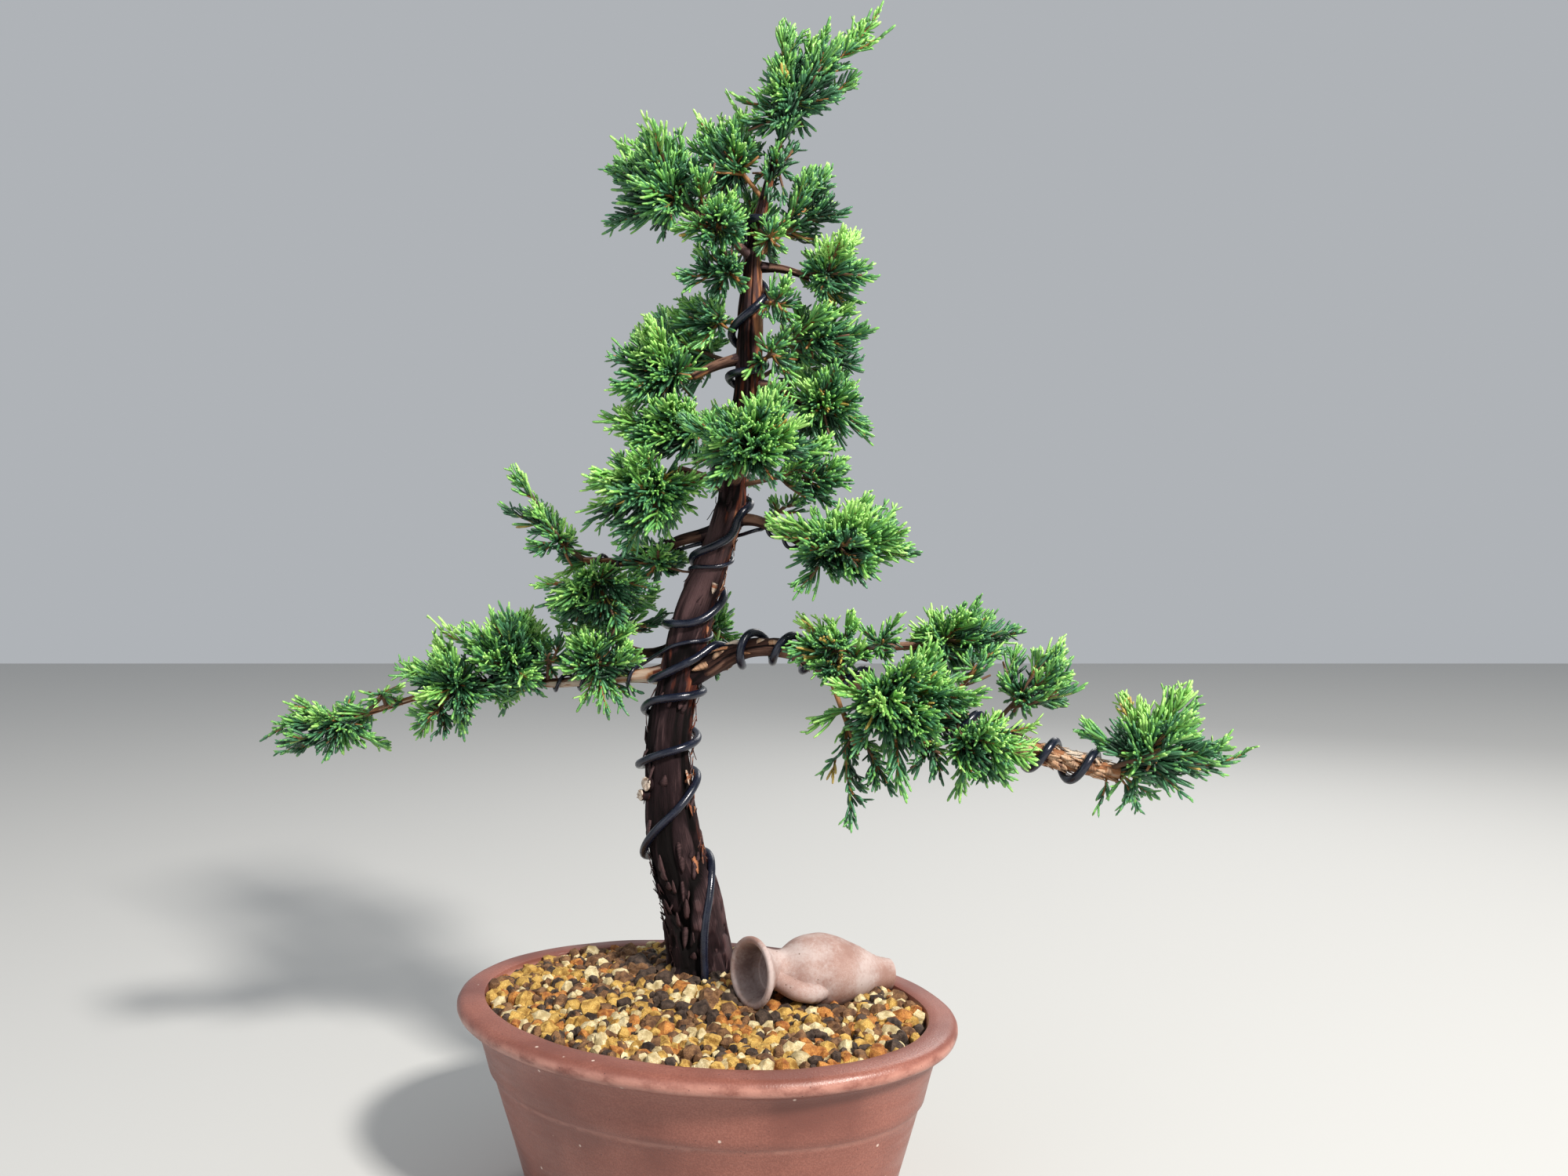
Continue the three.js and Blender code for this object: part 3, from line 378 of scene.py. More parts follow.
class Curves(NamedTuple):
    """Quadratic curves, one a row of their starts, control points and ends."""

    start: Array
    control: Array
    end: Array

    def at(self, t: Array) -> Array:
        """Their points at places from 0 to 1, the same for all or one row a curve."""
        t = t[None, :, None] if t.ndim == 1 else t[:, :, None]
        a, b, c = (part[:, None] for part in self)
        return (1 - t) ** 2 * a + 2 * t * (1 - t) * b + t ** 2 * c

    def ahead(self, t: Array) -> Array:
        """Their directions at places from 0 to 1, one row a curve."""
        t = t[:, :, None]
        a, b, c = (part[:, None] for part in self)
        return unit(2 * (1 - t) * (b - a) + 2 * t * (c - b))

    def chosen(self, rows: Array) -> "Curves":
        """Some of them."""
        return Curves(*(part[rows] for part in self))


def belts(rings: int, sides: int) -> Array:
    """The quads between rings of one section, as belts by sides by four.

    Args:
        rings: How many rings.
        sides: Corners of each ring.

    Returns:
        The quads, each by its four corners' numbers.
    """
    j = np.arange(sides)
    k = (j + 1) % sides
    low = np.arange(rings - 1)[:, None] * sides
    return np.stack([low + j, low + k, low + sides + k, low + sides + j], -1)


def tubes(path: Array, radii: Array, across: Array, sides: int,
          pointed: bool = True) -> tuple[Array, list[Array]]:
    """Closed tubes along many paths at once.

    Args:
        path: Copies by stations by three. On a pointed tube the last station is its tip.
        radii: Copies by rings.
        across: One direction across each tube.
        sides: Corners of the section.
        pointed: Whether the tube ends in a tip, or else in a flat end.

    Returns:
        The vertices, copies by vertices by three, and the faces of one copy: each belt of the wall from the
        base up, then the base and the end.
    """
    rings = path.shape[1] - (1 if pointed else 0)
    ahead = np.empty_like(path)
    ahead[:, 1:-1] = path[:, 2:] - path[:, :-2]
    ahead[:, 0] = path[:, 1] - path[:, 0]
    ahead[:, -1] = path[:, -1] - path[:, -2]
    ahead = unit(ahead[:, :rings])
    x = unit(across[:, None] - dots(across[:, None], ahead) * ahead)
    y = np.cross(ahead, x)
    j = np.arange(sides)
    angle = j[:, None] / sides * TURN
    spokes = x[:, :, None] * np.cos(angle) + y[:, :, None] * np.sin(angle)
    ring = path[:, :rings, None] + spokes * radii[:, :rings, None, None]
    points = ring.reshape(len(path), rings * sides, 3)
    faces = list(belts(rings, sides))
    top = (rings - 1) * sides
    first = np.zeros(sides - 2, int)
    faces.append(np.stack([first, j[2:], j[1:-1]], 1))
    if pointed:
        points = np.concatenate([points, path[:, -1:]], axis=1)
        faces.append(np.stack([top + j, top + (j + 1) % sides, np.full(sides, rings * sides)], 1))
    else:
        faces.append(top + np.stack([first, j[1:-1], j[2:]], 1))
    return points, faces


class Heap:
    """Vertices and faces gathered from arrays, to become one joined mesh."""

    def __init__(self) -> None:
        """Starts empty."""
        self.points: list[Array] = []
        self.faces: dict[int, list[tuple[Array, Array]]] = {3: [], 4: []}
        self.values: dict[str, list[Array]] = {}
        self.count = 0

    def add(self, points: Array, faces: Sequence[Array], tone: Array | int | list = 0,
            **values: Array) -> None:
        """Adds copies of one topology.

        Args:
            points: Copies by vertices by three.
            faces: Index arrays, triangles or quads, into one copy's vertices.
            tone: The material index of each copy, or one for all, or a list with one such entry a face array.
            values: Named point values, copies by vertices.
        """
        copies, size = points.shape[:2]
        tones = tone if isinstance(tone, list) else [tone] * len(faces)
        offsets = self.count + np.arange(copies) * size
        for block, shade in zip(faces, tones, strict=True):
            index = (block[None] + offsets[:, None, None]).reshape(-1, block.shape[1])
            shade = np.broadcast_to(np.asarray(shade), (copies,))
            self.faces[block.shape[1]].append((index, np.repeat(shade, len(block))))
        self.points.append(points.reshape(-1, 3))
        for key, value in values.items():
            self.values.setdefault(key, []).append(np.asarray(value, float).reshape(-1))
        self.count += copies * size

    def make(self, name: str, materials: Sequence[Material]) -> Piece:
        """Makes the object, with its materials in the order of the tones.

        Args:
            name: The piece's name.
            materials: Its materials.

        Returns:
            The new object.
        """
        points = np.concatenate(self.points).astype(np.float32)
        rows = [(sides, index, tone) for sides, found in self.faces.items() for index, tone in found]
        sizes = np.concatenate([np.full(len(index), sides) for sides, index, _ in rows])
        corners = np.concatenate([index.ravel() for _, index, _ in rows])
        tones = np.concatenate([tone for _, _, tone in rows])
        mesh = bpy.data.meshes.new(name)
        mesh.vertices.add(len(points))
        mesh.vertices.foreach_set("co", points.ravel())
        mesh.loops.add(len(corners))
        mesh.loops.foreach_set("vertex_index", corners.astype(np.int32))
        mesh.polygons.add(len(sizes))
        mesh.polygons.foreach_set("loop_start", (np.cumsum(sizes) - sizes).astype(np.int32))
        mesh.polygons.foreach_set("material_index", tones.astype(np.int32))
        mesh.polygons.foreach_set("use_smooth", np.ones(len(sizes), bool))
        for key, parts in self.values.items():
            attribute = mesh.attributes.new(key, "FLOAT", "POINT")
            attribute.data.foreach_set("value", np.concatenate(parts).astype(np.float32))
        mesh.update(calc_edges=True)
        mesh.validate()
        for material in materials:
            mesh.materials.append(material)
        piece = bpy.data.objects.new(name, mesh)
        bpy.context.scene.collection.objects.link(piece)
        return piece


class Bench:
    """Blender's own modelling operators, used on one piece at a time."""

    @staticmethod
    def clear() -> None:
        """Leaves edit mode and deselects everything."""
        if bpy.context.object and bpy.context.object.mode != "OBJECT":
            bpy.ops.object.mode_set(mode="OBJECT")
        bpy.ops.object.select_all(action="DESELECT")

    @staticmethod
    def pick(piece: Piece) -> None:
        """Selects one piece alone and makes it active."""
        Bench.clear()
        piece.select_set(True)
        bpy.context.view_layer.objects.active = piece

    @staticmethod
    def edit(piece: Piece, action: str = "SELECT") -> None:
        """Enters edit mode on a piece with everything selected or deselected."""
        Bench.pick(piece)
        bpy.ops.object.mode_set(mode="EDIT")
        bpy.ops.mesh.select_all(action=action)

    @staticmethod
    def close(piece: Piece) -> None:
        """Turns all faces outwards, leaves edit mode and puts the piece's place into its mesh.

        Args:
            piece: The piece, in edit mode.
        """
        bpy.ops.mesh.select_all(action="SELECT")
        bpy.ops.mesh.normals_make_consistent(inside=False)
        Bench.pick(piece)
        bpy.ops.object.transform_apply(location=True, rotation=True, scale=True)

    @staticmethod
    def turned(name: str, profile: Sequence[tuple[float, float]], sides: int,
               narrowing: float = 0.0) -> Piece:
        """A closed turned form, drawn up ring by ring from a disc.

        Args:
            name: The piece's name.
            profile: Radius and height of each ring, from the underside round to the last inner ring.
            sides: Corners of each ring.
            narrowing: How much less each ring measures along Y than along X, from the middle.

        Returns:
            The new object.
        """
        Bench.clear()
        radius, height = profile[0]
        base = (0, 0, height)
        bpy.ops.mesh.primitive_circle_add(vertices=sides, radius=radius, fill_type="NGON", location=base)
        piece = bpy.context.object
        piece.name = name
        Bench.edit(piece)
        bpy.ops.transform.resize(value=(1, (radius - narrowing) / radius, 1), center_override=base)
        for next_radius, next_height in profile[1:]:
            bpy.ops.mesh.extrude_region_move(TRANSFORM_OT_translate={"value": (0, 0, next_height - height)})
            grown = (next_radius / radius, (next_radius - narrowing) / (radius - narrowing), 1)
            bpy.ops.transform.resize(value=grown, center_override=(0, 0, next_height))
            radius, height = next_radius, next_height
        Bench.close(piece)
        return piece

    @staticmethod
    def bent_rod(name: str, points: Array, radii: Array, sides: int) -> Piece:
        """A round rod along points, as a bevelled curve made a mesh.

        Args:
            name: The piece's name.
            points: The centre line.
            radii: Its radius at each point.
            sides: About how many corners the section has.

        Returns:
            The new object.
        """
        Bench.clear()
        bpy.ops.curve.primitive_nurbs_path_add()
        piece = bpy.context.object
        piece.name = name
        curve = piece.data
        curve.splines.clear()
        spline = curve.splines.new("POLY")
        spline.points.add(len(points) - 1)
        spline.points.foreach_set("co", np.column_stack([points, np.ones(len(points))]).ravel())
        spline.points.foreach_set("radius", radii)
        curve.dimensions = "3D"
        curve.bevel_depth = 1.0
        curve.bevel_resolution = sides // 4
        curve.use_fill_caps = True
        curve.twist_mode = "MINIMUM"
        Bench.pick(piece)
        bpy.ops.object.convert(target="MESH")
        piece = bpy.context.object
        piece.data.name = name
        Bench.edit(piece)
        bpy.ops.mesh.remove_doubles(threshold=1e-5)
        Bench.close(piece)
        return piece

    @staticmethod
    def smooth(piece: Piece, degrees: float) -> None:
        """Shades a piece smooth but for edges sharper than an angle."""
        Bench.pick(piece)
        bpy.ops.object.shade_smooth_by_angle(angle=math.radians(degrees))

    @staticmethod
    def points(piece: Piece) -> Array:
        """The places of a piece's vertices."""
        found = np.empty(len(piece.data.vertices) * 3)
        piece.data.vertices.foreach_get("co", found)
        return found.reshape(-1, 3)

    @staticmethod
    def reshape(piece: Piece, change: Callable[[Array], Array]) -> None:
        """Moves all vertices of a piece by a function of their places."""
        piece.data.vertices.foreach_set("co", change(Bench.points(piece)).ravel())
        piece.data.update()

    @staticmethod
    def mark(piece: Piece, name: str, values: Array) -> None:
        """Gives a piece a named point value."""
        piece.data.attributes.new(name, "FLOAT", "POINT").data.foreach_set("value", values)

    @staticmethod
    def dress(piece: Piece, material: Material, degrees: float) -> None:
        """Gives a piece one material and shades it smooth below an angle."""
        piece.data.materials.clear()
        piece.data.materials.append(material)
        Bench.smooth(piece, degrees)


Source = Socket | Triple | float


class Tree:
    """A shader node tree that is built call by call."""

    def __init__(self, tree: bpy.types.NodeTree) -> None:
        """Keeps the tree."""
        self.tree = tree

    def supply(self, node: bpy.types.Node, inputs: dict[str | int, Source]) -> bpy.types.Node:
        """Gives each of a node's inputs a link, a colour, a vector or a number.

        Args:
            node: The node.
            inputs: What its inputs read, by place, or by name with _ for a space.

        Returns:
            The node.
        """
        for key, source in inputs.items():
            target = node.inputs[key if isinstance(key, int) else key.replace("_", " ")]
            if isinstance(source, Socket):
                self.tree.links.new(source, target)
            else:
                target.default_value = (*source, 1.0) if target.type == "RGBA" else source
        return node

    def add(self, kind: str, inputs: dict[str | int, Source] | None = None,
            **settings: object) -> bpy.types.Node:
        """A new node.

        Args:
            kind: Its type, without the leading ShaderNode.
            inputs: What its inputs read.
            settings: Its properties.

        Returns:
            The node.
        """
        node = self.tree.nodes.new(f"ShaderNode{kind}")
        for key, value in settings.items():
            setattr(node, key, value)
        return self.supply(node, inputs or {})

    def use(self, group: bpy.types.NodeTree, **inputs: Source) -> bpy.types.Node:
        """Places a shared effect with its inputs."""
        return self.add("Group", inputs, node_tree=group)

    def place(self) -> Socket:
        """The place on the piece in metres."""
        return self.add("TexCoord").outputs["Object"]

    def value(self, name: str) -> Socket:
        """A point value of the mesh."""
        return self.add("Attribute", attribute_name=name).outputs["Fac"]

    def stretched(self, vector: Socket, scale: Triple) -> Socket:
        """A place stretched by a Mapping node."""
        return self.add("Mapping", {"Vector": vector, "Scale": scale}).outputs["Vector"]

    def noise(self, vector: Socket, scale: Source, detail: float = 3.0, roughness: float = 0.55) -> Socket:
        """Noise between about 0.25 and 0.75 at a scale per metre."""
        inputs = {"Vector": vector, "Scale": scale, "Detail": detail, "Roughness": roughness}
        return self.add("TexNoise", inputs).outputs["Fac"]

    def band(self, value: Socket, low: float, high: float, to_low: float = 0.0,
             to_high: float = 1.0) -> Socket:
        """A value stretched from one range to another, smooth and held at the ends."""
        inputs = {"Value": value, "From Min": low, "From Max": high, "To Min": to_low, "To Max": to_high}
        return self.add("MapRange", inputs, interpolation_type="SMOOTHSTEP").outputs["Result"]

    def blend(self, part: Socket, low: Source, high: Source) -> Socket:
        """A colour between two colours, which are the sixth and seventh inputs of the node."""
        return self.add("Mix", {"Factor": part, 6: low, 7: high}, data_type="RGBA").outputs[2]

    def math(self, operation: str, a: Socket, b: Source) -> Socket:
        """Two values put together by a named operation."""
        return self.add("Math", {0: a, 1: b}, operation=operation).outputs[0]

    def plus(self, a: Socket, b: Source) -> Socket:
        """The sum of two values."""
        return self.math("ADD", a, b)

    def times(self, a: Socket, b: Source) -> Socket:
        """The product of two values."""
        return self.math("MULTIPLY", a, b)

    def bump(self, height: Socket, distance: float, strength: float, **under: Socket) -> Socket:
        """A normal from a height in parts of a distance in metres, if need be over another Normal."""
        inputs = {"Strength": strength, "Distance": distance, "Height": height, **under}
        return self.add("Bump", inputs).outputs["Normal"]


class Paint(Tree):
    """A material with its one shader."""

    def __init__(self, name: str, **constants: Source) -> None:
        """Makes the material with constants on the shader's own sockets.

        Args:
            name: The material's name.
            constants: Plain values by the names of the shader's sockets.
        """
        self.material = bpy.data.materials.new(name)
        self.material.use_nodes = True
        super().__init__(self.material.node_tree)
        self.shader = next(n for n in self.tree.nodes if n.type == "BSDF_PRINCIPLED")
        self.shade(**constants)

    def shade(self, **inputs: Source) -> Material:
        """Feeds the shader's sockets and gives the material."""
        self.supply(self.shader, inputs)
        return self.material


class Effect(Tree):
    """A shared effect, which is a node group."""

    def __init__(self, name: str, colours: Sequence[str], numbers: Sequence[str],
                 puts_out: Sequence[str]) -> None:
        """Makes the empty group.

        Args:
            name: Its name.
            colours: Its colour inputs, besides a Vector.
            numbers: Its number inputs.
            puts_out: Its outputs, numbers but for Color.
        """
        super().__init__(bpy.data.node_groups.new(name, "ShaderNodeTree"))
        sockets = [("Vector", "INPUT", "Vector"), *((key, "INPUT", "Color") for key in colours),
                   *((key, "INPUT", "Float") for key in numbers),
                   *((key, "OUTPUT", "Color" if key == "Color" else "Float") for key in puts_out)]
        for key, way, kind in sockets:
            self.tree.interface.new_socket(key, in_out=way, socket_type=f"NodeSocket{kind}")
        self.given = self.tree.nodes.new("NodeGroupInput").outputs
        self.end = self.tree.nodes.new("NodeGroupOutput")

    def finish(self, *sources: Socket) -> bpy.types.NodeTree:
        """Feeds the outputs in their order and gives the group."""
        self.supply(self.end, dict(enumerate(sources)))
        return self.tree


def mottle_effect() -> bpy.types.NodeTree:
    """The group for cloudy colour between three tones, with fine grain on top."""
    group = Effect("mottle", ("Dark", "Middle", "Light"), ("Cloud Scale", "Grain Scale"), ("Color", "Grain"))
    given = group.given
    wide = group.band(group.noise(given["Vector"], given["Cloud Scale"], 4.0, 0.5), 0.32, 0.68)
    fine = group.band(group.noise(given["Vector"], given["Grain Scale"], 2.0, 0.5), 0.35, 0.7)
    base = group.blend(wide, given["Dark"], given["Middle"])
    return group.finish(group.blend(group.times(fine, wide), base, given["Light"]), fine)


def speck_effect() -> bpy.types.NodeTree:
    """The group for scattered round specks over a colour."""
    group = Effect("specks", ("Color", "Speck"), ("Scale", "Share"), ("Color",))
    given = group.given
    cells = group.add("TexVoronoi", {"Vector": given["Vector"], "Scale": given["Scale"]}).outputs
    near = group.band(cells["Distance"], 0.1, 0.22, 1.0, 0.0)
    draw = group.add("SeparateColor", {"Color": cells["Color"]}).outputs["Red"]
    mask = group.times(near, group.math("LESS_THAN", draw, given["Share"]))
    return group.finish(group.blend(mask, given["Color"], given["Speck"]))


def fibre_effect() -> bpy.types.NodeTree:
    """The group for long fibres of bark in three tones."""
    group = Effect("fibres", ("Groove", "Body", "Ridge"), ("Scale", "Relief"), ("Color", "Height"))
    given = group.given
    fine = group.noise(given["Vector"], given["Scale"], 5.0, 0.62)
    level = group.plus(group.times(fine, 0.9), given["Relief"])
    low = group.blend(group.band(level, 0.45, 0.85), given["Groove"], given["Body"])
    return group.finish(group.blend(group.band(level, 0.9, 1.32), low, given["Ridge"]), fine)


@dataclass(frozen=True)
class Effects:
    """The shader effects that several finishes share."""

    mottle: bpy.types.NodeTree = field(default_factory=mottle_effect)
    specks: bpy.types.NodeTree = field(default_factory=speck_effect)
    fibres: bpy.types.NodeTree = field(default_factory=fibre_effect)


@dataclass(frozen=True)
class Mottled:
    """A finish in three cloudy tones with fine grain, with its scales per metre and its relief in metres."""

    name: str
    dark: Triple
    middle: Triple
    light: Triple
    roughness: float
    specular: float
    clouds: float
    grain: float
    relief: float
    strength: float

    def ground(self, effects: Effects) -> tuple[Paint, Socket, Socket, Socket]:
        """Starts the material.

        Args:
            effects: The shared shader effects.

        Returns:
            The paint, the place on the piece, and the mottled colour and its grain.
        """
        paint = Paint(self.name, Roughness=self.roughness, Specular_IOR_Level=self.specular)
        place = paint.place()
        node = paint.use(effects.mottle, Vector=place, Dark=self.dark, Middle=self.middle, Light=self.light,
                         Cloud_Scale=self.clouds, Grain_Scale=self.grain)
        return paint, place, node.outputs["Color"], node.outputs["Grain"]

    def bumped(self, paint: Paint, height: Socket) -> Socket:
        """The finish's own normal from a height."""
        return paint.bump(height, self.relief, self.strength)

    def material(self, effects: Effects) -> Material:
        """The finished material."""
        paint, _, colour, grain = self.ground(effects)
        return paint.shade(Base_Color=colour, Normal=self.bumped(paint, grain))


def specked(effects: Effects, paint: Paint, place: Socket, colour: Socket, *specks: tuple) -> Socket:
    """A colour with specks scattered over it.

    Args:
        effects: The shared shader effects.
        paint: The material's tree.
        place: The place on the piece.
        colour: The colour below.
        specks: Each kind's colour, scale per metre and share of the cells.

    Returns:
        The colour with its specks.
    """
    for speck, scale, share in specks:
        node = paint.use(effects.specks, Vector=place, Color=colour, Speck=speck, Scale=scale, Share=share)
        colour = node.outputs["Color"]
    return colour


def leaf(name: str, colour: Triple, roughness: float) -> Mottled:
    """A plain tone of scale foliage or green bark with the fine scales' own light and shade."""
    low, high = (tuple(min(1.0, part * c) for c in colour) for part in (0.8, 1.22))
    return Mottled(name, low, colour, high, roughness, specular=0.55, clouds=120.0, grain=900.0,
                   relief=0.0003, strength=0.35)


@dataclass(frozen=True)
class Stoneware(Mottled):
    """Unglazed red-brown stoneware, satin, with fine pale flecks, and paler edges from wear with a painted
    highlight.
    """

    # Paler colour of the rim's edge and the ridge: wear and a painted highlight.
    worn: Triple = (0.5, 0.24, 0.185)
    fleck: Triple = (0.62, 0.47, 0.4)
    mote: Triple = (0.09, 0.03, 0.025)
    rim: tuple = ((0.1275, 0.1315), (0.1345, 0.1385))
    ridge: tuple = ((0.0845, 0.0875), (0.088, 0.0905))

    def material(self, effects: Effects) -> Material:
        """The finished material, paler at the heights of the rim and the ridge: wear and a painted highlight.

        Args:
            effects: The shared shader effects.

        Returns:
            The finished material.
        """
        paint, place, clay, grain = self.ground(effects)
        level = paint.add("SeparateXYZ", {"Vector": place}).outputs["Z"]
        rim, ridge = (paint.times(paint.band(level, *rise), paint.band(level, *fall, 1.0, 0.0))
                      for rise, fall in (self.rim, self.ridge))
        rubbed = paint.band(paint.noise(paint.stretched(place, (1.0, 1.0, 2.0)), 60.0, 5.0, 0.6), 0.3, 0.62)
        # Rubbed patches at the rim's edge and the ridge are lightened: wear, and a painted highlight along
        # these edges.
        worn = paint.times(paint.plus(rim, paint.times(ridge, 0.5)), rubbed)
        clay = paint.blend(paint.times(worn, 0.75), clay, self.worn)
        clay = specked(effects, paint, place, clay, (self.fleck, 160.0, 0.035), (self.mote, 420.0, 0.07))
        wiped = paint.noise(paint.stretched(place, (1.0, 1.0, 7.0)), 22.0, 4.0)
        return paint.shade(Base_Color=clay, IOR=1.5, Roughness=paint.band(wiped, 0.3, 0.7, 0.32, 0.48),
                           Normal=paint.bump(wiped, 0.0007, 0.35, Normal=self.bumped(paint, grain)))


@dataclass(frozen=True)
class Pebble(Mottled):
    """One colour of the baked clay and pumice grit, with its share of the pieces."""

    share: float = 0.0

    def material(self, effects: Effects) -> Material:
        """The finished material, with dark pits.

        Args:
            effects: The shared shader effects.

        Returns:
            The finished material.
        """
        paint, place, stone, grain = self.ground(effects)
        return paint.shade(Base_Color=specked(effects, paint, place, stone, (self.dark, 1300.0, 0.25)),
                           Roughness=paint.band(grain, 0.0, 1.0, 0.72, 0.95),
                           Normal=self.bumped(paint, grain))


@dataclass(frozen=True)
class Terracotta(Mottled):
    """Pale pink fired clay with a whitish bloom."""

    bloom: Triple = (0.5, 0.42, 0.4)
    # Painted shade with dirt for the mouth's recess.
    recess_shade_and_dirt: Triple = (0.13, 0.085, 0.08)
    # Painted shade with damp on the underside, by the gravel.
    damp_and_shade: Triple = (0.19, 0.08, 0.048)
    dirt: Triple = (0.16, 0.1, 0.075)

    def material(self, effects: Effects) -> Material:
        """The finished material, which reads the mesh's own underside and hollow values to paint shade: with
        dirt in the recess, with damp on the underside.

        Args:
            effects: The shared shader effects.

        Returns:
            The finished material.
        """
        paint, place, clay, _ = self.ground(effects)
        fine = paint.times(paint.noise(place, 500.0, 2.0), 0.3)
        film = paint.plus(paint.noise(place, 38.0, 4.0, 0.5), fine)
        mask = paint.band(film, 0.5, 0.86, 0.1, 0.85)
        clay = paint.blend(mask, clay, self.bloom)
        # Painted shade: the underside and the mouth's recess are darkened, with damp and dirt.
        for name, colour, full in (("underside", self.damp_and_shade, 0.85), ("hollow", self.recess_shade_and_dirt, 0.9)):
            part = paint.times(paint.value(name), paint.band(film, 0.45, full, 0.9, 0.45))
            clay = paint.blend(part, clay, colour)
        return paint.shade(Base_Color=specked(effects, paint, place, clay, (self.dirt, 330.0, 0.05)),
                           Roughness=paint.band(mask, 0.0, 1.0, 0.72, 0.94),
                           Normal=self.bumped(paint, film))


@dataclass(frozen=True)
class Anodised(Mottled):
    """Near-black anodised aluminium, satin."""

    metallic: float = 0.1

    def material(self, effects: Effects) -> Material:
        """The finished material.

        Args:
            effects: The shared shader effects.

        Returns:
            The finished material.
        """
        paint, place, coat, grain = self.ground(effects)
        sheen = paint.band(paint.noise(place, 260.0, 4.0), 0.3, 0.7, 0.17, 0.32)
        return paint.shade(Base_Color=coat, Metallic=self.metallic, Roughness=sheen,
                           Normal=self.bumped(paint, grain))


@dataclass(frozen=True)
class Bark:
    """Fibrous juniper bark that peels in strips."""

    name: str
    groove: Triple
    body: Triple
    ridge: Triple
    peeled: Triple
    bare: Triple
    weathered: Triple = (0.58, 0.48, 0.39)

    def material(self, effects: Effects) -> Material:
        """The finished material, which reads the mesh's own relief and peel values.

        Args:
            effects: The shared shader effects.

        Returns:
            The finished material.
        """
        paint = Paint(self.name, Roughness=0.85, Specular_IOR_Level=0.16)
        surface = paint.add("UVMap", uv_map="bark").outputs["UV"]
        relief = paint.value("relief")
        shared = {"Vector": paint.stretched(surface, (1.0, 0.07, 1.0)), "Relief": relief}
        outer, inner = (paint.use(effects.fibres, Groove=low, Body=body, Ridge=high, Scale=scale, **shared)
                        for low, body, high, scale in ((self.groove, self.body, self.ridge, 1250.0),
                                                           (self.body, self.peeled, self.bare, 900.0)))
        patches = paint.noise(paint.stretched(surface, (1.0, 0.3, 1.0)), 150.0, 4.0)
        peel = paint.plus(paint.value("peel"), patches)
        shown = paint.blend(paint.band(peel, 0.86, 1.12), outer.outputs["Color"], inner.outputs["Color"])
        worn = paint.times(paint.band(peel, 1.2, 1.42), paint.band(relief, 0.25, 0.7))
        return paint.shade(Base_Color=paint.blend(worn, shown, self.weathered),
                           Roughness=paint.band(relief, 0.1, 0.9, 0.9, 0.5),
                           Normal=paint.bump(outer.outputs["Height"], 0.0009, 0.9))


STONEWARE = Stoneware("stoneware", (0.17, 0.055, 0.04), (0.24, 0.083, 0.06), (0.31, 0.117, 0.085),
                      roughness=0.45, specular=0.5, clouds=14.0, grain=900.0, relief=0.00012, strength=0.5)
TERRACOTTA = Terracotta("terracotta", (0.25, 0.13, 0.1), (0.335, 0.2, 0.165), (0.4, 0.27, 0.235),
                        roughness=0.85, specular=0.3, clouds=55.0, grain=1400.0, relief=0.0005, strength=0.6)
ANODISED = Anodised("anodised_wire", (0.005, 0.007, 0.017), (0.005, 0.007, 0.017), (0.011, 0.015, 0.034),
                    roughness=0.3, specular=0.6, clouds=130.0, grain=1500.0, relief=0.00006, strength=0.4)
CUT_WOOD = Mottled("cut_wood", (0.34, 0.22, 0.15), (0.72, 0.62, 0.52), (0.72, 0.62, 0.52),
                   roughness=0.8, specular=0.3, clouds=420.0, grain=2400.0, relief=0.0003, strength=0.5)
TRUNK_BARK = Bark("bark_trunk", (0.002, 0.001, 0.001), (0.0145, 0.0062, 0.0075), (0.075, 0.04, 0.041),
                  (0.15, 0.034, 0.016), (0.38, 0.15, 0.07))
BOUGH_BARK = Bark("bark_bough", (0.006, 0.003, 0.003), (0.052, 0.024, 0.018), (0.18, 0.095, 0.065),
                  (0.34, 0.145, 0.064), (0.6, 0.39, 0.25))
BED, *PEBBLES = (Pebble(name, dark, middle, light, roughness=0.85, specular=0.35, clouds=210.0, grain=1500.0,
                        relief=0.0004, strength=0.6, share=share) for name, dark, middle, light, share in (
    ("grit_bed", (0.02, 0.012, 0.008), (0.06, 0.035, 0.018), (0.13, 0.075, 0.035), 0.0),
    ("grit_ochre", (0.24, 0.12, 0.022), (0.5, 0.29, 0.06), (0.7, 0.48, 0.15), 0.3),
    ("grit_cream", (0.4, 0.3, 0.14), (0.66, 0.53, 0.28), (0.82, 0.72, 0.48), 0.2),
    ("grit_orange", (0.2, 0.06, 0.014), (0.44, 0.16, 0.032), (0.6, 0.3, 0.08), 0.15),
    ("grit_brown", (0.07, 0.03, 0.014), (0.17, 0.08, 0.034), (0.3, 0.165, 0.075), 0.2),
    ("grit_dark", (0.018, 0.01, 0.007), (0.05, 0.03, 0.021), (0.12, 0.08, 0.058), 0.15)))


class Tone(Enum):
    """The plain tones dealt out over the sprays, from the deepest to the brightest, and a dry one; dealt by
    depth and facing they paint light and shade.
    """

    DEEP = leaf("leaf_deep", (0.011, 0.042, 0.022), 0.46)
    DARK = leaf("leaf_dark", (0.027, 0.1, 0.044), 0.42)
    COOL = leaf("leaf_cool", (0.066, 0.215, 0.1), 0.36)
    GREEN = leaf("leaf_green", (0.12, 0.34, 0.092), 0.36)
    FRESH = leaf("leaf_fresh", (0.21, 0.5, 0.105), 0.37)
    TIP = leaf("leaf_tip", (0.41, 0.74, 0.19), 0.4)
    GOLD = leaf("leaf_gold", (0.5, 0.36, 0.08), 0.46)

    @property
    def index(self) -> int:
        """Its place in the material list."""
        return list(Tone).index(self)


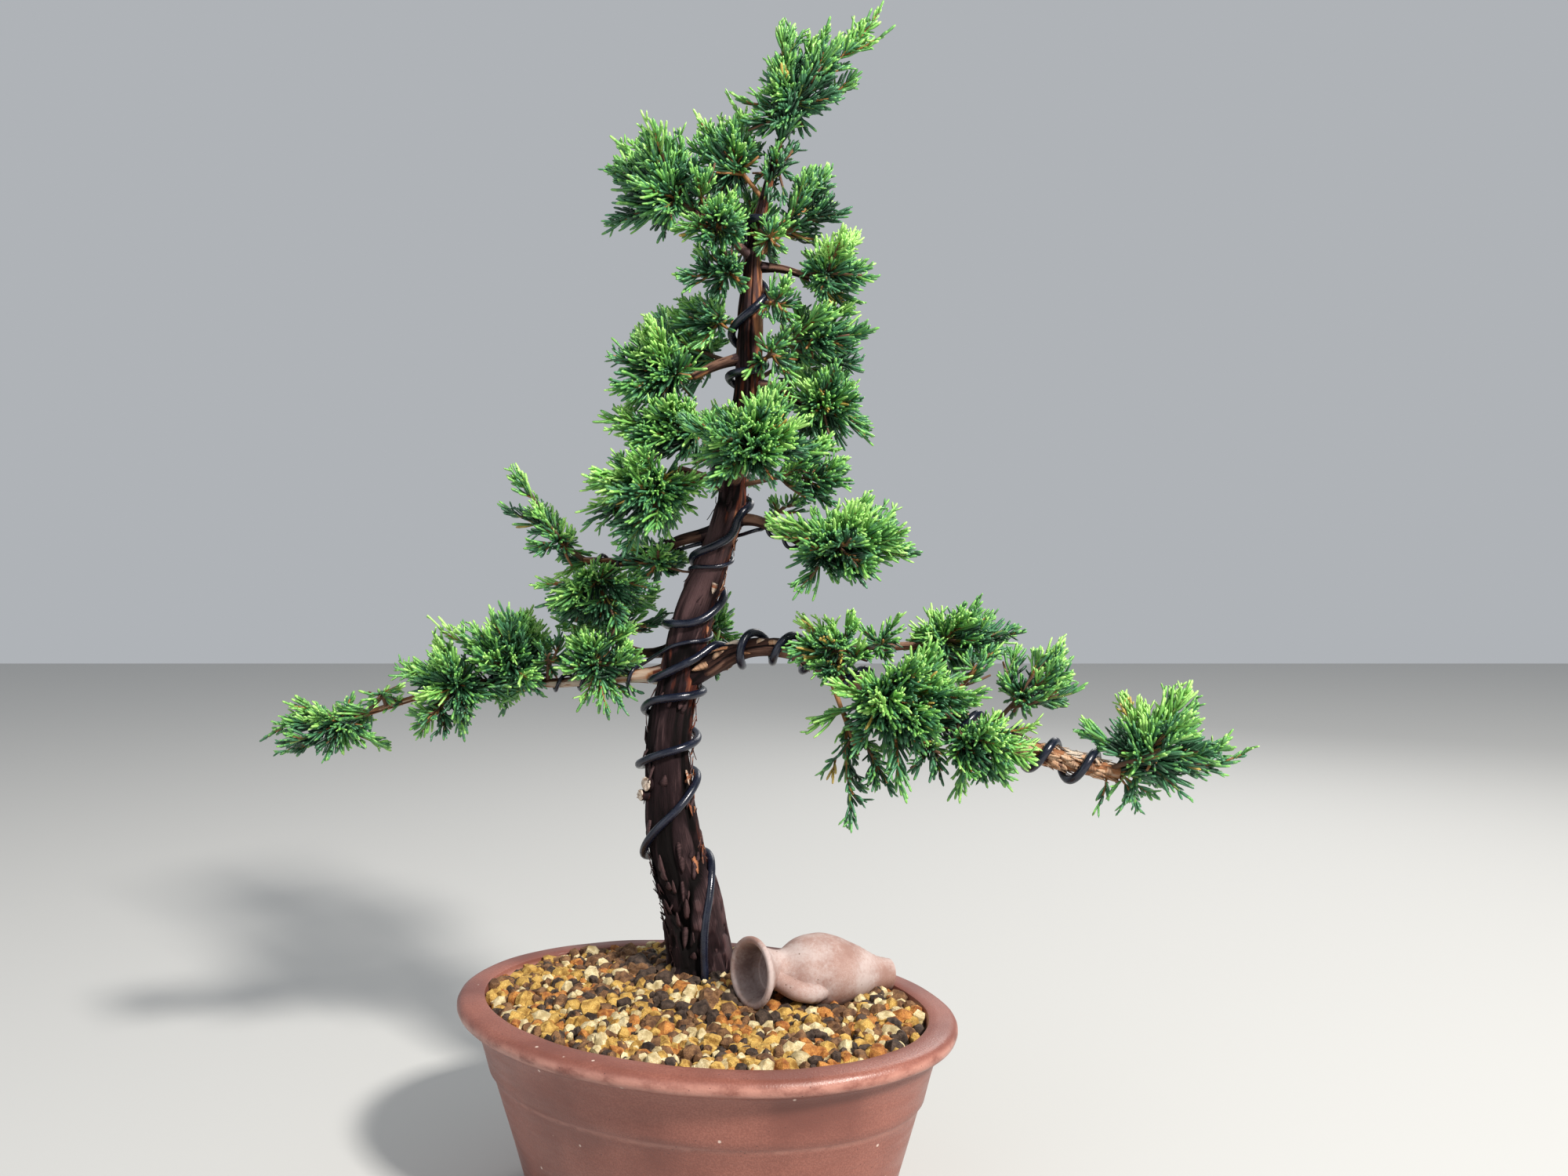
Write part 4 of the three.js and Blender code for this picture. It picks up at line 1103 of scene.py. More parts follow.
class Twig(Enum):
    """The barks of the finest twigs, from the youngest to the oldest."""

    GREEN = leaf("twig_green", (0.16, 0.24, 0.05), 0.55)
    ORANGE = leaf("twig_orange", (0.28, 0.12, 0.03), 0.6)
    BROWN = leaf("twig_brown", (0.12, 0.058, 0.03), 0.75)


POT_TURN = math.radians(-22)
POT_NARROWING = 49 * MM


@dataclass
class Pot:
    """The oval pot, whose every ring is narrower along Y by the same amount."""

    reach: float = 175 * MM
    height: float = 140 * MM
    sides: int = 192
    drops: tuple = (
        (51, 0), (49.2, 0.8), (48.4, 3), (45.2, 13), (42, 25), (37.4, 42), (32.4, 59), (28, 74), (24.6, 86),
        (23, 89.2), (21.2, 91.2), (20, 96), (18.6, 101.5), (16.6, 109), (14, 117), (11.4, 123), (9, 126.6),
        (6, 128.2), (2.8, 129), (0.9, 130.6), (0.05, 133), (0.2, 135.4), (1.4, 137.6), (3.4, 139), (6, 139.6),
        (12, 139.9), (16.8, 140), (18.6, 139.2), (19.4, 137), (19.7, 132), (22, 124), (24.5, 115), (33.5, 88),
        (51.5, 25), (55.5, 12))
    wave: float = 0.25 * MM
    waves: tuple = ((1, 2, 0.6), (0.7, 5, 2.1), (0.45, 11, 0.4), (0.3, 23, 1.7))
    shrink: float = 0.0016
    swells: tuple = ((0.5, 3, 1.0), (0.3, 17, 0))

    def build(self, effects: Effects) -> Piece:
        """Turns the pot from its foot over the rim to the floor inside, a little uneven as pressed clay.

        Args:
            effects: The shared shader effects.

        Returns:
            The finished piece.
        """
        rings = [(self.reach - drop * MM, height * MM) for drop, height in self.drops]
        pot = Bench.turned("pot_stoneware", rings, self.sides, POT_NARROWING)
        Bench.reshape(pot, self._uneven)
        pot.data.transform(Matrix.Rotation(POT_TURN, 4, "Z"))
        Bench.dress(pot, STONEWARE.material(effects), 40)
        return pot

    def _uneven(self, points: Array) -> Array:
        """Slow waves in the rim and wall, which fade out at the foot.

        Args:
            points: The vertices, one a row.

        Returns:
            The moved vertices.
        """
        angle = np.arctan2(points[:, 1], points[:, 0])
        high = ease(points[:, 2] / self.height)
        points[:, 2] += self.wave * ripples(self.waves, angle) * high * ease((points[:, 2] - 0.1) / 0.03)
        points[:, :2] *= (1 - self.shrink * high * (1 + ripples(self.swells, angle)))[:, None]
        return points


@dataclass
class Jar:
    """The clay jar, lying on its belly with its handle towards the viewer."""

    length: float = 110 * MM
    mouth: Triple = (31 * MM, -10 * MM, 164 * MM)
    heading: float = math.radians(66)
    rise: float = math.radians(10.5)
    roll: float = math.radians(-18)
    sides: int = 72
    foot: tuple = ((8.8, 0), (10.3, 0.15))
    wall: tuple = ((11, 0.6), (12.6, 12), (18.8, 28), (25.5, 54), (21, 73), (12.5, 86), (15.5, 98),
                   (22.9, 106.4))
    wall_rings: int = 64
    lip: tuple = ((23.4, 107.4), (23.5, 108.6), (23, 109.6), (22, 110), (20.6, 109.9), (19.5, 109.2),
                  (17.6, 106), (16, 102.5), (14.6, 98), (13.5, 93.6), (12, 93), (4, 93))
    reaches: tuple = ((0, 11), (12, 12.6), (28, 18.8), (41, 24), (54, 25.5), (65, 24), (73, 21), (80, 15.5),
                      (86, 12.5), (92, 13), (98, 15.5), (103, 19), (107, 23.5), (110, 23))
    handle: tuple = ((8, 0, 93), (12.8, 0, 89.8), (16.5, 0, 86), (20.6, 0, 80.4), (23, 0, 74), (22.6, 0, 67),
                     (19, 0, 60))
    handle_radius: float = 6.5 * MM
    neck: float = 84 * MM
    bend: float = math.radians(13)
    gravel_line: float = 137 * MM

    def placing(self) -> Matrix:
        """The matrix that lays a jar made up +Z from its tail on the gravel."""
        flat = math.cos(self.rise)
        axis = Vector((-math.sin(self.heading) * flat, -math.cos(self.heading) * flat, math.sin(self.rise)))
        towards = (Vector((0, -1, 0)) + axis * axis.y).normalized()
        towards.rotate(Matrix.Rotation(self.roll, 3, axis))
        turn = Matrix((towards, axis.cross(towards), axis)).transposed().to_4x4()
        return Matrix.Translation(Vector(self.mouth) - axis * self.length) @ turn

    def radius_at(self, height: Array) -> Array:
        """The outer radius at heights above the tail."""
        marks = np.array(self.reaches) * MM
        return np.interp(height, marks[:, 0], marks[:, 1])

    def build(self, effects: Effects) -> Piece:
        """Turns the jar, fuses its handle to it, marks its ridges, marks where the hollow and the underside
        get painted shade, and lays it down.

        Args:
            effects: The shared shader effects.

        Returns:
            The finished piece.
        """
        wall = smooth_line(np.column_stack([self.wall, np.zeros(len(self.wall))]), self.wall_rings - 1)[:, :2]
        rings = [(radius * MM, height * MM) for radius, height in (*self.foot, *wall.tolist(), *self.lip)]
        jar = Bench.turned("jar_terracotta", rings, self.sides)
        handle = self._handle()
        Bench.pick(jar)
        fused = jar.modifiers.new("handle", "BOOLEAN")
        fused.operation, fused.solver, fused.object = "UNION", "EXACT", handle
        bpy.ops.object.modifier_apply(modifier=fused.name)
        bpy.data.objects.remove(handle)
        # Where the mouth's recess gets painted shade and dirt.
        Bench.mark(jar, "hollow", self._hollow(Bench.points(jar)))
        Bench.reshape(jar, self._hand_made)
        jar.data.transform(self.placing())
        # Where the underside by the gravel gets painted shade and damp.
        Bench.mark(jar, "underside", 1 - ease((Bench.points(jar)[:, 2] - self.gravel_line) / (15 * MM)))
        Bench.dress(jar, TERRACOTTA.material(effects), 50)
        return jar

    def _handle(self) -> Piece:
        """The handle, with a crease and a swelling where it was pressed on."""
        line = smooth_line(np.array(self.handle) * MM, 36)
        along = np.linspace(0, 1, len(line))
        crease = 1 - 0.1 * bell(along - 0.8, 0.02) + 0.06 * bell(along - 0.84, 0.03)
        return Bench.bent_rod("jar_handle", line, self.handle_radius * crease * (1 + 0.05 * along), 20)

    def _hollow(self, points: Array) -> Array:
        """1 deep in the mouth's recess and 0 outside it, a value a vertex, where the recess gets painted
        shade and dirt.
        """
        across, height = np.hypot(points[:, 0], points[:, 1]), points[:, 2]
        within = (across < self.radius_at(height) - 0.45 * MM) & (height > 92.5 * MM)
        return within * ease((108.5 * MM - height) / (4 * MM))

    def _hand_made(self, points: Array) -> Array:
        """Throwing ridges on the tail, a slight unevenness, and a mouth bent towards the viewer.

        Args:
            points: The vertices, one a row.

        Returns:
            The moved vertices.
        """
        height = points[:, 2]
        angle = np.arctan2(points[:, 1], points[:, 0])
        ridges = 0.012 * np.sin(height / MM * TURN / 4.2) * ease((0.034 - height) / 0.02)
        uneven = 0.006 * np.sin(3 * angle + height * 90) + 0.004 * np.sin(height * 480)
        points[:, :2] *= (1 + ridges + uneven)[:, None]
        bend = self.bend * ease((height - self.neck) / (18 * MM))
        x, z = points[:, 0].copy(), height - self.neck
        points[:, 0] = x * np.cos(bend) + z * np.sin(bend)
        points[:, 2] = self.neck - x * np.sin(bend) + z * np.cos(bend)
        return points


@dataclass
class Gravel:
    """The bed of grit: a dark ground with loose pieces laid over it."""

    level: float = 134 * MM
    mound: float = 9.5 * MM
    spread: float = 56 * MM
    reach: float = 155.5 * MM
    spacing: float = 6.9 * MM
    layers: int = 2
    foot: tuple[float, float] = (-1 * MM, 46 * MM)
    foot_reach: float = 20.5 * MM
    # How far round the trunk's foot dark pieces gather: painted shade and damp humus.
    damp_and_shade: float = 75 * MM
    under: float = 2.6 * MM
    body: tuple = ((111, 12.4), (119, 12.6), (122.5, 25), (140.8, 88), (149.8, 115), (154.6, 131), (150, 131),
                   (136, 131), (118, 131), (100, 131), (84, 131), (70, 131), (58, 131))
    size: tuple[float, float] = (3.75, 0.3)
    least: float = 2.1
    most: float = 6.8
    flats: int = 7

    def from_foot(self, x: Array, y: Array) -> Array:
        """The distance from the trunk's foot."""
        return np.hypot(x - self.foot[0], y - self.foot[1])

    def height(self, x: Array, y: Array) -> Array:
        """The bed's level, with a low mound round the trunk."""
        away = (x - self.foot[0]) ** 2 + (y - self.foot[1]) ** 2
        return self.level + self.mound * np.exp(-away / (2 * self.spread ** 2))

    def ground(self, effects: Effects) -> Piece:
        """The closed body of fine dark grit under the loose pieces.

        Args:
            effects: The shared shader effects.

        Returns:
            The finished piece.
        """
        rings = [(radius * MM, height * MM) for radius, height in self.body]
        bed = Bench.turned("gravel_ground", rings, 96, POT_NARROWING)
        Bench.edit(bed, "DESELECT")
        mesh = bmesh.from_edit_mesh(bed.data)
        for face in mesh.faces:
            face.select = len(face.verts) > 4 and face.calc_center_median().z > 0.1
        bmesh.update_edit_mesh(bed.data)
        for _ in range(3):
            bpy.ops.mesh.inset(thickness=self.under)
        Bench.clear()
        bed.data.transform(Matrix.Rotation(POT_TURN, 4, "Z"))
        Bench.reshape(bed, self._heaped)
        Bench.dress(bed, BED.material(effects), 60)
        return bed

    def _heaped(self, points: Array) -> Array:
        """Lifts the bed's top to its level, a little under the loose pieces."""
        raised = self.height(points[:, 0], points[:, 1]) - self.under
        points[:, 2] = np.where(points[:, 2] > 130.5 * MM, raised, points[:, 2])
        return points

    def stones(self, effects: Effects, jar: Jar) -> Piece:
        """The loose pieces, each its own irregular shape.

        Args:
            effects: The shared shader effects.
            jar: What lies in the bed, where no piece goes.

        Returns:
            The joined mesh.
        """
        rng = np.random.default_rng(SEED)
        template, faces = self._template()
        places = np.concatenate([self._places(rng, layer) for layer in range(self.layers)])
        places = places[self._clear(places, jar)]
        count = len(places)
        sizes = np.clip(rng.lognormal(math.log(self.size[0]), self.size[1], count), self.least, self.most)
        radii = sizes[:, None] * MM * rng.uniform(0.74, 1.26, (count, 3))
        shape = self._chipped(rng, np.broadcast_to(template, (count, *template.shape)).copy())
        shape = self._spun(rng, shape * radii[:, None]) + places[:, None]
        heap = Heap()
        heap.add(shape, [faces], self._tones(rng, places))
        stones = heap.make("gravel_stones", [pebble.material(effects) for pebble in PEBBLES])
        Bench.smooth(stones, 34)
        LOG.info("gravel: %d stones", count)
        return stones

    def _tones(self, rng: np.random.Generator, places: Array) -> Array:
        """Deals the colours, with more dark pieces round the trunk, as painted shade and damp humus, and in
        patches.

        Args:
            rng: Source of the deal.
            places: Where the pieces lie.

        Returns:
            The material index of each piece.
        """
        x, y = places[:, 0], places[:, 1]
        shares = np.array([pebble.share for pebble in PEBBLES]) * np.ones((len(places), 1))
        # Painted shade and damp: more brown and dark pieces near the trunk's foot.
        shares[:, -2:] *= 1 + 3.5 * bell(self.from_foot(x, y)[:, None], self.damp_and_shade)
        patch = (np.sin(x / (15 * MM) + 1.3 * np.sin(y / (21 * MM)))
                 * np.sin(y / (12 * MM) + 2.1 + np.sin(x / (26 * MM))))
        shares[:, -2:] *= np.exp(1.15 * patch)[:, None]
        level = np.cumsum(shares, axis=1) / shares.sum(axis=1, keepdims=True)
        return (rng.random((len(places), 1)) > level).sum(axis=1)

    @staticmethod
    def _template() -> tuple[Array, Array]:
        """The vertices and faces of the ball that every piece is chipped from."""
        Bench.clear()
        bpy.ops.mesh.primitive_cube_add(size=2.0)
        ball = bpy.context.object
        Bench.edit(ball)
        bpy.ops.mesh.subdivide(number_cuts=1)
        Bench.clear()
        points = unit(Bench.points(ball))
        faces = np.array([polygon.vertices[:] for polygon in ball.data.polygons])
        bpy.data.objects.remove(ball)
        return points, faces

    def _places(self, rng: np.random.Generator, layer: int) -> Array:
        """Jittered places over the oval.

        Args:
            rng: Source of the jitter.
            layer: Which layer, from 0 below.

        Returns:
            One place a row.
        """
        step = self.spacing * (1 + 0.15 * layer)
        rows = np.arange(-self.reach, self.reach, step * 0.866)
        x, y = np.meshgrid(np.arange(-self.reach, self.reach, step), rows)
        x = x + (np.arange(len(rows)) % 2)[:, None] * step / 2 + layer * step / 2
        flat = np.stack([x.ravel(), y.ravel()], 1) + rng.uniform(-0.33, 0.33, (x.size, 2)) * step
        inner = self.reach - 3.6 * MM
        flat = flat[(flat[:, 0] / inner) ** 2 + (flat[:, 1] / (inner - POT_NARROWING)) ** 2 < 1]
        c, s = math.cos(POT_TURN), math.sin(POT_TURN)
        flat = flat @ np.array([[c, s], [-s, c]])
        lift = rng.uniform(-1.4, 0.6, len(flat)) * MM + layer * 1.7 * MM
        return np.column_stack([flat, self.height(flat[:, 0], flat[:, 1]) + lift])

    def _clear(self, places: Array, jar: Jar) -> Array:
        """Which places are clear of the trunk's foot and of the jar.

        Args:
            places: One place a row.
            jar: The jar.

        Returns:
            A truth value a place.
        """
        to_jar = np.array(jar.placing().inverted())
        local = places @ to_jar[:3, :3].T + to_jar[:3, 3]
        along = local[:, 2]
        near = np.hypot(local[:, 0], local[:, 1]) < jar.radius_at(along) + 2.4 * MM
        in_jar = near & (along > -3 * MM) & (along < jar.length + 2 * MM)
        return (self.from_foot(places[:, 0], places[:, 1]) > self.foot_reach) & ~in_jar

    def _chipped(self, rng: np.random.Generator, shape: Array) -> Array:
        """Cuts flats off the balls and dents them.

        Args:
            rng: Source of the flats and dents.
            shape: Pieces by vertices by three.

        Returns:
            The chipped pieces.
        """
        one_each = (len(shape), 1, 1)
        for _ in range(self.flats):
            normal = unit(rng.normal(size=(len(shape), 1, 3)))
            depth = rng.uniform(0.56, 0.95, one_each)
            shape = shape - np.maximum(dots(shape, normal) - depth, 0) * normal
        wave = unit(rng.normal(size=(len(shape), 1, 3))) * rng.uniform(2, 4, one_each)
        dent = np.sin(dots(shape, wave) + rng.uniform(0, TURN, one_each))
        return shape * (1.14 + 0.1 * dent)

    @staticmethod
    def _spun(rng: np.random.Generator, shape: Array) -> Array:
        """Turns each piece about the upright and tips it a little.

        Args:
            rng: Source of the turns.
            shape: Pieces by vertices by three.

        Returns:
            The turned pieces.
        """
        spin = rng.uniform(0, TURN, len(shape))
        tip = rng.normal(0, 0.45, len(shape))
        c, s, ct, st = np.cos(spin), np.sin(spin), np.cos(tip), np.sin(tip)
        zero, one = np.zeros_like(c), np.ones_like(c)
        about_up = np.array([[c, -s, zero], [s, c, zero], [zero, zero, one]]).transpose(2, 0, 1)
        about_x = np.array([[one, zero, zero], [zero, ct, -st], [zero, st, ct]]).transpose(2, 0, 1)
        return np.einsum("nij,nvj->nvi", about_up @ about_x, shape)


@dataclass
class Barked:
    """The relief of one limb's bark, in metres, with its peel by the place along and the turn around."""

    limb: Limb
    rings: int
    sides: int
    fibres: int
    depth: float
    twist: float
    peel: Callable[[Array, Array], Array]
    start: float = 0.0
    strips: int = 7
    collar: float = 0.0
    flare: float = 0.0
    lobes: tuple = ((1, 5, 0), (0.5, 8, 1.3))
    # How much darker the bark is towards its foot: painted shade and damp.
    damp_and_shade: float = 0.0
    coarse: float = 0.0
    foot: float = 0.0
    flakes: int = 0
    flake_place: Callable[[np.random.Generator, int], tuple[Array, Array]] | None = None
    flake_size: float = 1.0
    flake_taper: tuple = (0.7, 1, 1, 0.85, 0.6, 0.2)
    papery: float = 0.0
    dark_foot: float = -1.0

    def add_to(self, heap: Heap, rng: np.random.Generator) -> None:
        """Adds the limb's skin, which takes the third finish at its foot.

        Args:
            heap: Where the mesh is gathered.
            rng: Source of the relief.
        """
        limb, sides = self.limb, self.sides
        u = np.linspace(self.start, 1.0, self.rings)
        turns = np.arange(sides) / sides
        along, around = np.meshgrid(u * limb.length, turns, indexing="ij")
        radius = limb.radius(u)[:, None]
        height, shown = self.relief(rng, along, around, radius)
        across, other = limb.basis(u)
        angle = turns[:, None] * TURN
        spokes = across[:, None] * np.cos(angle) + other[:, None] * np.sin(angle)
        skin = limb.point(u)[:, None] + spokes * (radius + height)[:, :, None]
        points = np.concatenate([skin.reshape(-1, 3), limb.point([self.start, 1.0])])[None]
        quads = belts(self.rings, sides).reshape(-1, 4)
        j = np.arange(sides)
        k = (j + 1) % sides
        end, last = self.rings * sides, (self.rings - 1) * sides
        caps = np.concatenate([np.stack([k, j, np.full(sides, end)], 1),
                               np.stack([last + j, last + k, np.full(sides, end + 1)], 1)])
        reached = along - along.min() + 9 * MM * lattice(rng, along, around, 0.007, 9)
        foot = reached[:-1].ravel() < self.foot
        middling = (0.5, 0.5)
        heap.add(points, [quads[foot], quads[~foot], caps], [2, 0, 0], relief=np.append(shown, middling),
                 peel=np.append(self.peel(along, around), middling),
                 around=np.append(around * TURN * float(limb.radii.max()), (0, 0)),
                 along=np.append(along, along[[0, -1], 0]))

    def relief(self, rng: np.random.Generator, along: Array, around: Array,
               radius: Array) -> tuple[Array, Array]:
        """How far the skin stands out.

        Args:
            rng: Source of the noise.
            along: Distances along the limb.
            around: Turns round it.
            radius: The limb's radius at each ring.

        Returns:
            The heights in metres, and the same as a value from 0 in a groove to 1 on a ridge.
        """
        turn = around + self.twist * along
        turn = turn + 0.07 * (lattice(rng, along, turn, 0.045, 5) - 0.5)
        cells = ((0.028, 4), (0.07, max(5, self.fibres // 4)), (0.042, self.fibres), (0.022, self.fibres * 2),
                 (0.03, max(4, self.fibres // 3)), (0.1, self.strips), (0.008, self.fibres))
        lumps, cords, strands, threads, plates, strips, scales = (
            lattice(rng, along, turn, length, columns) for length, columns in cells)
        value = 0.4 * cords + 0.38 * (1 - np.abs(2 * strands - 1)) + 0.22 * threads
        plates = ease((plates - 0.5) / 0.08) - 0.5
        scales = ease((scales - 0.5) / 0.14) - 0.5
        strips = strips - 0.5
        edge = bell(strips, 0.035)
        base = along - along.min()
        rough = 1 + self.coarse * bell(base - 0.02, 0.05)
        height = np.clip(radius / 0.016, 0.3, 1.2) * self.depth * (
            1.3 * (value - 0.55) + 1.5 * (lumps - 0.5) + 0.75 * rough * plates
            + 1.7 * rough * (ease(strips / 0.05 + 0.5) - 0.5) - 0.9 * edge
            + (0.9 * scales - 1.2) * (rough - 1))
        height = height + self.collar * np.exp(-base / 0.007) * radius
        if self.flare:
            lobes = 1.5 * MM * ripples(self.lobes, around * TURN)
            height = height + (lobes + self.flare) * np.exp(-base / 0.018)
        # Towards the foot the shown value falls: painted shade, with damp bark.
        shown = (0.95 * (value - 0.5) + 0.5 + 0.28 * plates + 1.05 * strips - 0.6 * edge
                 - self.damp_and_shade * np.exp(-base / 0.055) + 0.4 * scales * (rough - 1))
        return height, np.clip(shown, 0, 1)

    def add_flakes(self, heap: Heap, rng: np.random.Generator) -> None:
        """Adds strips of bark that stand off the skin at one end.

        Args:
            heap: Where the mesh is gathered.
            rng: Source of their sizes and places.
        """
        limb, count = self.limb, self.flakes
        if not count:
            return
        u, turns = self.flake_place(rng, count)
        length = rng.uniform(4, 13, count) * MM * self.flake_size ** 0.3
        width = rng.uniform(0.6, 1.9, count) * MM * self.flake_size
        lift = rng.uniform(0.3, 1.0, count) ** 2 * 2.7 * MM
        way = np.where(rng.random(count) < 0.6, 1.0, -1.0)
        rows = []
        for t in np.linspace(0, 1, len(self.flake_taper)):
            place = np.clip(u + way * t * length / limb.length, 0.0, 1.0)
            stand = limb.radius(place) + mix(-1.3, 0.3, min(1.0, 2.5 * t)) * MM + lift * t ** 2
            rows.append(limb.around(place, turns + 0.12 / TURN * t * way, stand))
        path = np.stack(rows, 1)
        outward = unit(path[:, -1] - limb.point(u))
        ahead = unit(np.gradient(path, axis=1))
        sideways = unit(np.cross(ahead, outward[:, None]))
        half = sideways * width[:, None, None] * np.array(self.flake_taper)[None, :, None]
        thick = np.cross(sideways, ahead) * 0.22 * MM
        corners = np.stack([path + half, path + thick * 1.6, path - half, path - thick], 2)
        points = corners.reshape(count, -1, 3)
        size = points.shape[1]
        ends = [[3, 2, 1, 0], np.arange(size - 4, size)]
        quads = np.concatenate([belts(len(rows), 4).reshape(-1, 4), ends])
        shade = rng.uniform(0.5, 1.0, count)
        warm = np.where(np.cos(turns * TURN) > 0.6, 0.7, 0.2) * rng.uniform(0.3, 1.2, count) + self.papery
        warm = warm * ease((u * limb.length - self.dark_foot) / 0.04)
        heap.add(points, [quads], relief=np.repeat(shade, size), peel=np.repeat(warm, size),
                 around=np.tile(np.arange(size) * MM, count), along=np.linspace(0, 0.3, count * size))


@dataclass
class Woodwork:
    """Trunk and boughs with the relief of their bark."""

    limbs: dict[str, Limb]
    ground: float = 138 * MM
    stubs: tuple = ((277, 0.6, 4.6, 11.5), (269, 0.56, 3.7, 14))
    stub_form: tuple = ((0, 1.35), (0.45, 1.15), (0.66, 1), (0.84, 1.04), (0.95, 1), (1, 0.84))

    def build(self, effects: Effects) -> list[tuple[Piece, list[str]]]:
        """Makes the trunk, the big bough and the slim boughs, each with the CAD nodes that it stands for.

        Args:
            effects: The shared shader effects.

        Returns:
            The pieces, each with its nodes' names.
        """
        rng = np.random.default_rng(SEED + 1)
        dark, warm, cut = (finish.material(effects) for finish in (TRUNK_BARK, BOUGH_BARK, CUT_WOOD))
        trunk, big, *slim = self.limbs
        stout = {trunk: self._trunk, big: self._big_bough}
        made = []
        for name, nodes, finishes in (("trunk_bark", [trunk], [dark, cut]),
                                      ("bough_right_low_bark", [big], [warm, cut, dark]),
                                      ("boughs_bark", slim, [warm, cut, dark])):
            heap = Heap()
            for node in nodes:
                barked = stout[node]() if node in stout else self._slim_bough(node)
                barked.add_to(heap, rng)
                barked.add_flakes(heap, rng)
            if trunk in nodes:
                self._add_stubs(heap, rng)
            made.append((self._make(heap, name, finishes), nodes))
        return made

    @staticmethod
    def _make(heap: Heap, name: str, finishes: Sequence[Material]) -> Piece:
        """Makes a piece and turns its places around and along the limbs into a UV map.

        Args:
            heap: The gathered mesh.
            name: The piece's name.
            finishes: Its materials.

        Returns:
            The new object.
        """
        piece = heap.make(name, finishes)
        mesh = piece.data
        corner = np.empty(len(mesh.loops), np.int32)
        mesh.loops.foreach_get("vertex_index", corner)
        places = np.stack([np.concatenate(heap.values[key]) for key in ("around", "along")], 1)
        mesh.uv_layers.new(name="bark").data.foreach_set("uv", places[corner].astype(np.float32).ravel())
        for key in ("around", "along"):
            mesh.attributes.remove(mesh.attributes[key])
        return piece

    def _trunk(self) -> Barked:
        """The trunk, from under the gravel to its tip."""
        limb = self.limbs["trunk"]

        def peel(along: Array, around: Array) -> Array:
            """More bare bark on the right side, round the big bough's fork and above it."""
            side = np.cos(around * TURN) * 0.5 + 0.5
            streak = 0.34 * side ** 4 * ease((along - 0.06) / 0.03)
            return 0.08 + streak + 0.26 * bell(along - 0.222, 0.028) + 0.28 * ease((along - 0.25) / 0.15)

        def places(rng: np.random.Generator, count: int) -> tuple[Array, Array]:
            """Most strips stand on the right edge, some all round.

            Args:
                rng: Source of the places.
                count: How many strips.

            Returns:
                Parts of the limb's length and turns round it.
            """
            low = rng.random(count) < 0.45
            edge = np.where(rng.random(count) < np.where(low, 0.45, 0.88), 0.0, 0.5)
            turns = np.where(rng.random(count) < 0.6, rng.normal(edge, 0.06, count), rng.random(count))
            return np.where(low, rng.uniform(0.01, 0.14, count), rng.uniform(0.04, 0.62, count)), turns

        start = float(limb.part_at_height(self.ground))
        # The trunk's foot darkens with painted shade and damp.
        return Barked(limb, 500, 168, 24, 1.45 * MM, 0.35, peel, start=start, flare=0.7 * MM, damp_and_shade=0.72,
                      coarse=0.9, flakes=320, flake_place=places, flake_size=1.5, dark_foot=55 * MM)

    def _big_bough(self) -> Barked:
        """The thick wired bough, papery and tan towards its end."""
        limb = self.limbs["bough_right_low"]

        def peel(along: Array, _: Array) -> Array:
            """Bare and tan over the last third."""
            return 0.14 + 0.5 * ease((along / limb.length - 0.55) / 0.2)

        def places(rng: np.random.Generator, count: int) -> tuple[Array, Array]:
            """Most strips stand on the last third."""
            outer = rng.random(count) < 0.78
            u = np.where(outer, rng.uniform(0.62, 0.98, count), rng.uniform(0.08, 0.6, count))
            return u, rng.random(count)

        return Barked(limb, 300, 80, 20, 1.3 * MM, 1.2, peel, strips=5, collar=0.12, foot=25 * MM, flakes=260,
                      flake_place=places, flake_size=1.7, papery=0.45)

    def _slim_bough(self, name: str) -> Barked:
        """One of the slim boughs, of which the low left one is pale.

        Args:
            name: The bough's name.

        Returns:
            Its bark.
        """
        limb = self.limbs[name]
        pale = 0.95 if name == "bough_left_low" else 0.25

        def peel(along: Array, _: Array) -> Array:
            """Palest near the trunk, and orange again towards the end."""
            part = along / limb.length
            return pale * (1 - 0.5 * ease((part - 0.35) / 0.2)) + 0.3 * ease((part - 0.6) / 0.2)

        rings = int(limb.length / (1.6 * MM))
        return Barked(limb, rings, 28, 12, 0.8 * MM, 1.5, peel, collar=0.6, foot=15 * MM)

    def _add_stubs(self, heap: Heap, rng: np.random.Generator) -> None:
        """Adds the two short pruned stubs side by side on the left, with their pale cut ends.

        Args:
            heap: Where the mesh is gathered.
            rng: Source of their unevenness.
        """
        trunk = self.limbs["trunk"]
        for height, turn, radius, length in self.stubs:
            u = float(trunk.part_at_height(height * MM))
            start = trunk.around(u, turn, 9 * MM)[0]
            way = unit(start - trunk.point(u)[0] + np.array([0, -0.003, 0.0012]))
            stations, radii = np.array(self.stub_form).T
            path = (start + way * (stations * length * MM)[:, None])[None]
            points, faces = tubes(path, (radii * radius * MM)[None], UP[None], 20, pointed=False)
            size = points.shape[1]
            points = points + rng.normal(0, 0.3 * MM, points.shape)
            heap.add(points, faces, [0] * (len(faces) - 3) + [1, 0, 1], relief=np.full(size, 0.4),
                     peel=np.full(size, 0.35), around=np.linspace(0, 0.03, size),
                     along=np.linspace(0, 0.02, size))


class WireKind(NamedTuple):
    """A size of training wire: its radius and its points a turn."""

    radius: float
    steps: int


class Winding(NamedTuple):
    """A wire that goes round the trunk through marks of turns and millimetres of height, then round a bough.

    It takes the bough between two parts of its length, from a first turn on.
    """

    node: str
    kind: WireKind
    marks: tuple[tuple[float, float], ...]
    bough: str = ""
    start: float = 0.0
    end: float = 0.0
    first: float = 0.0
    turns: float = 0.0


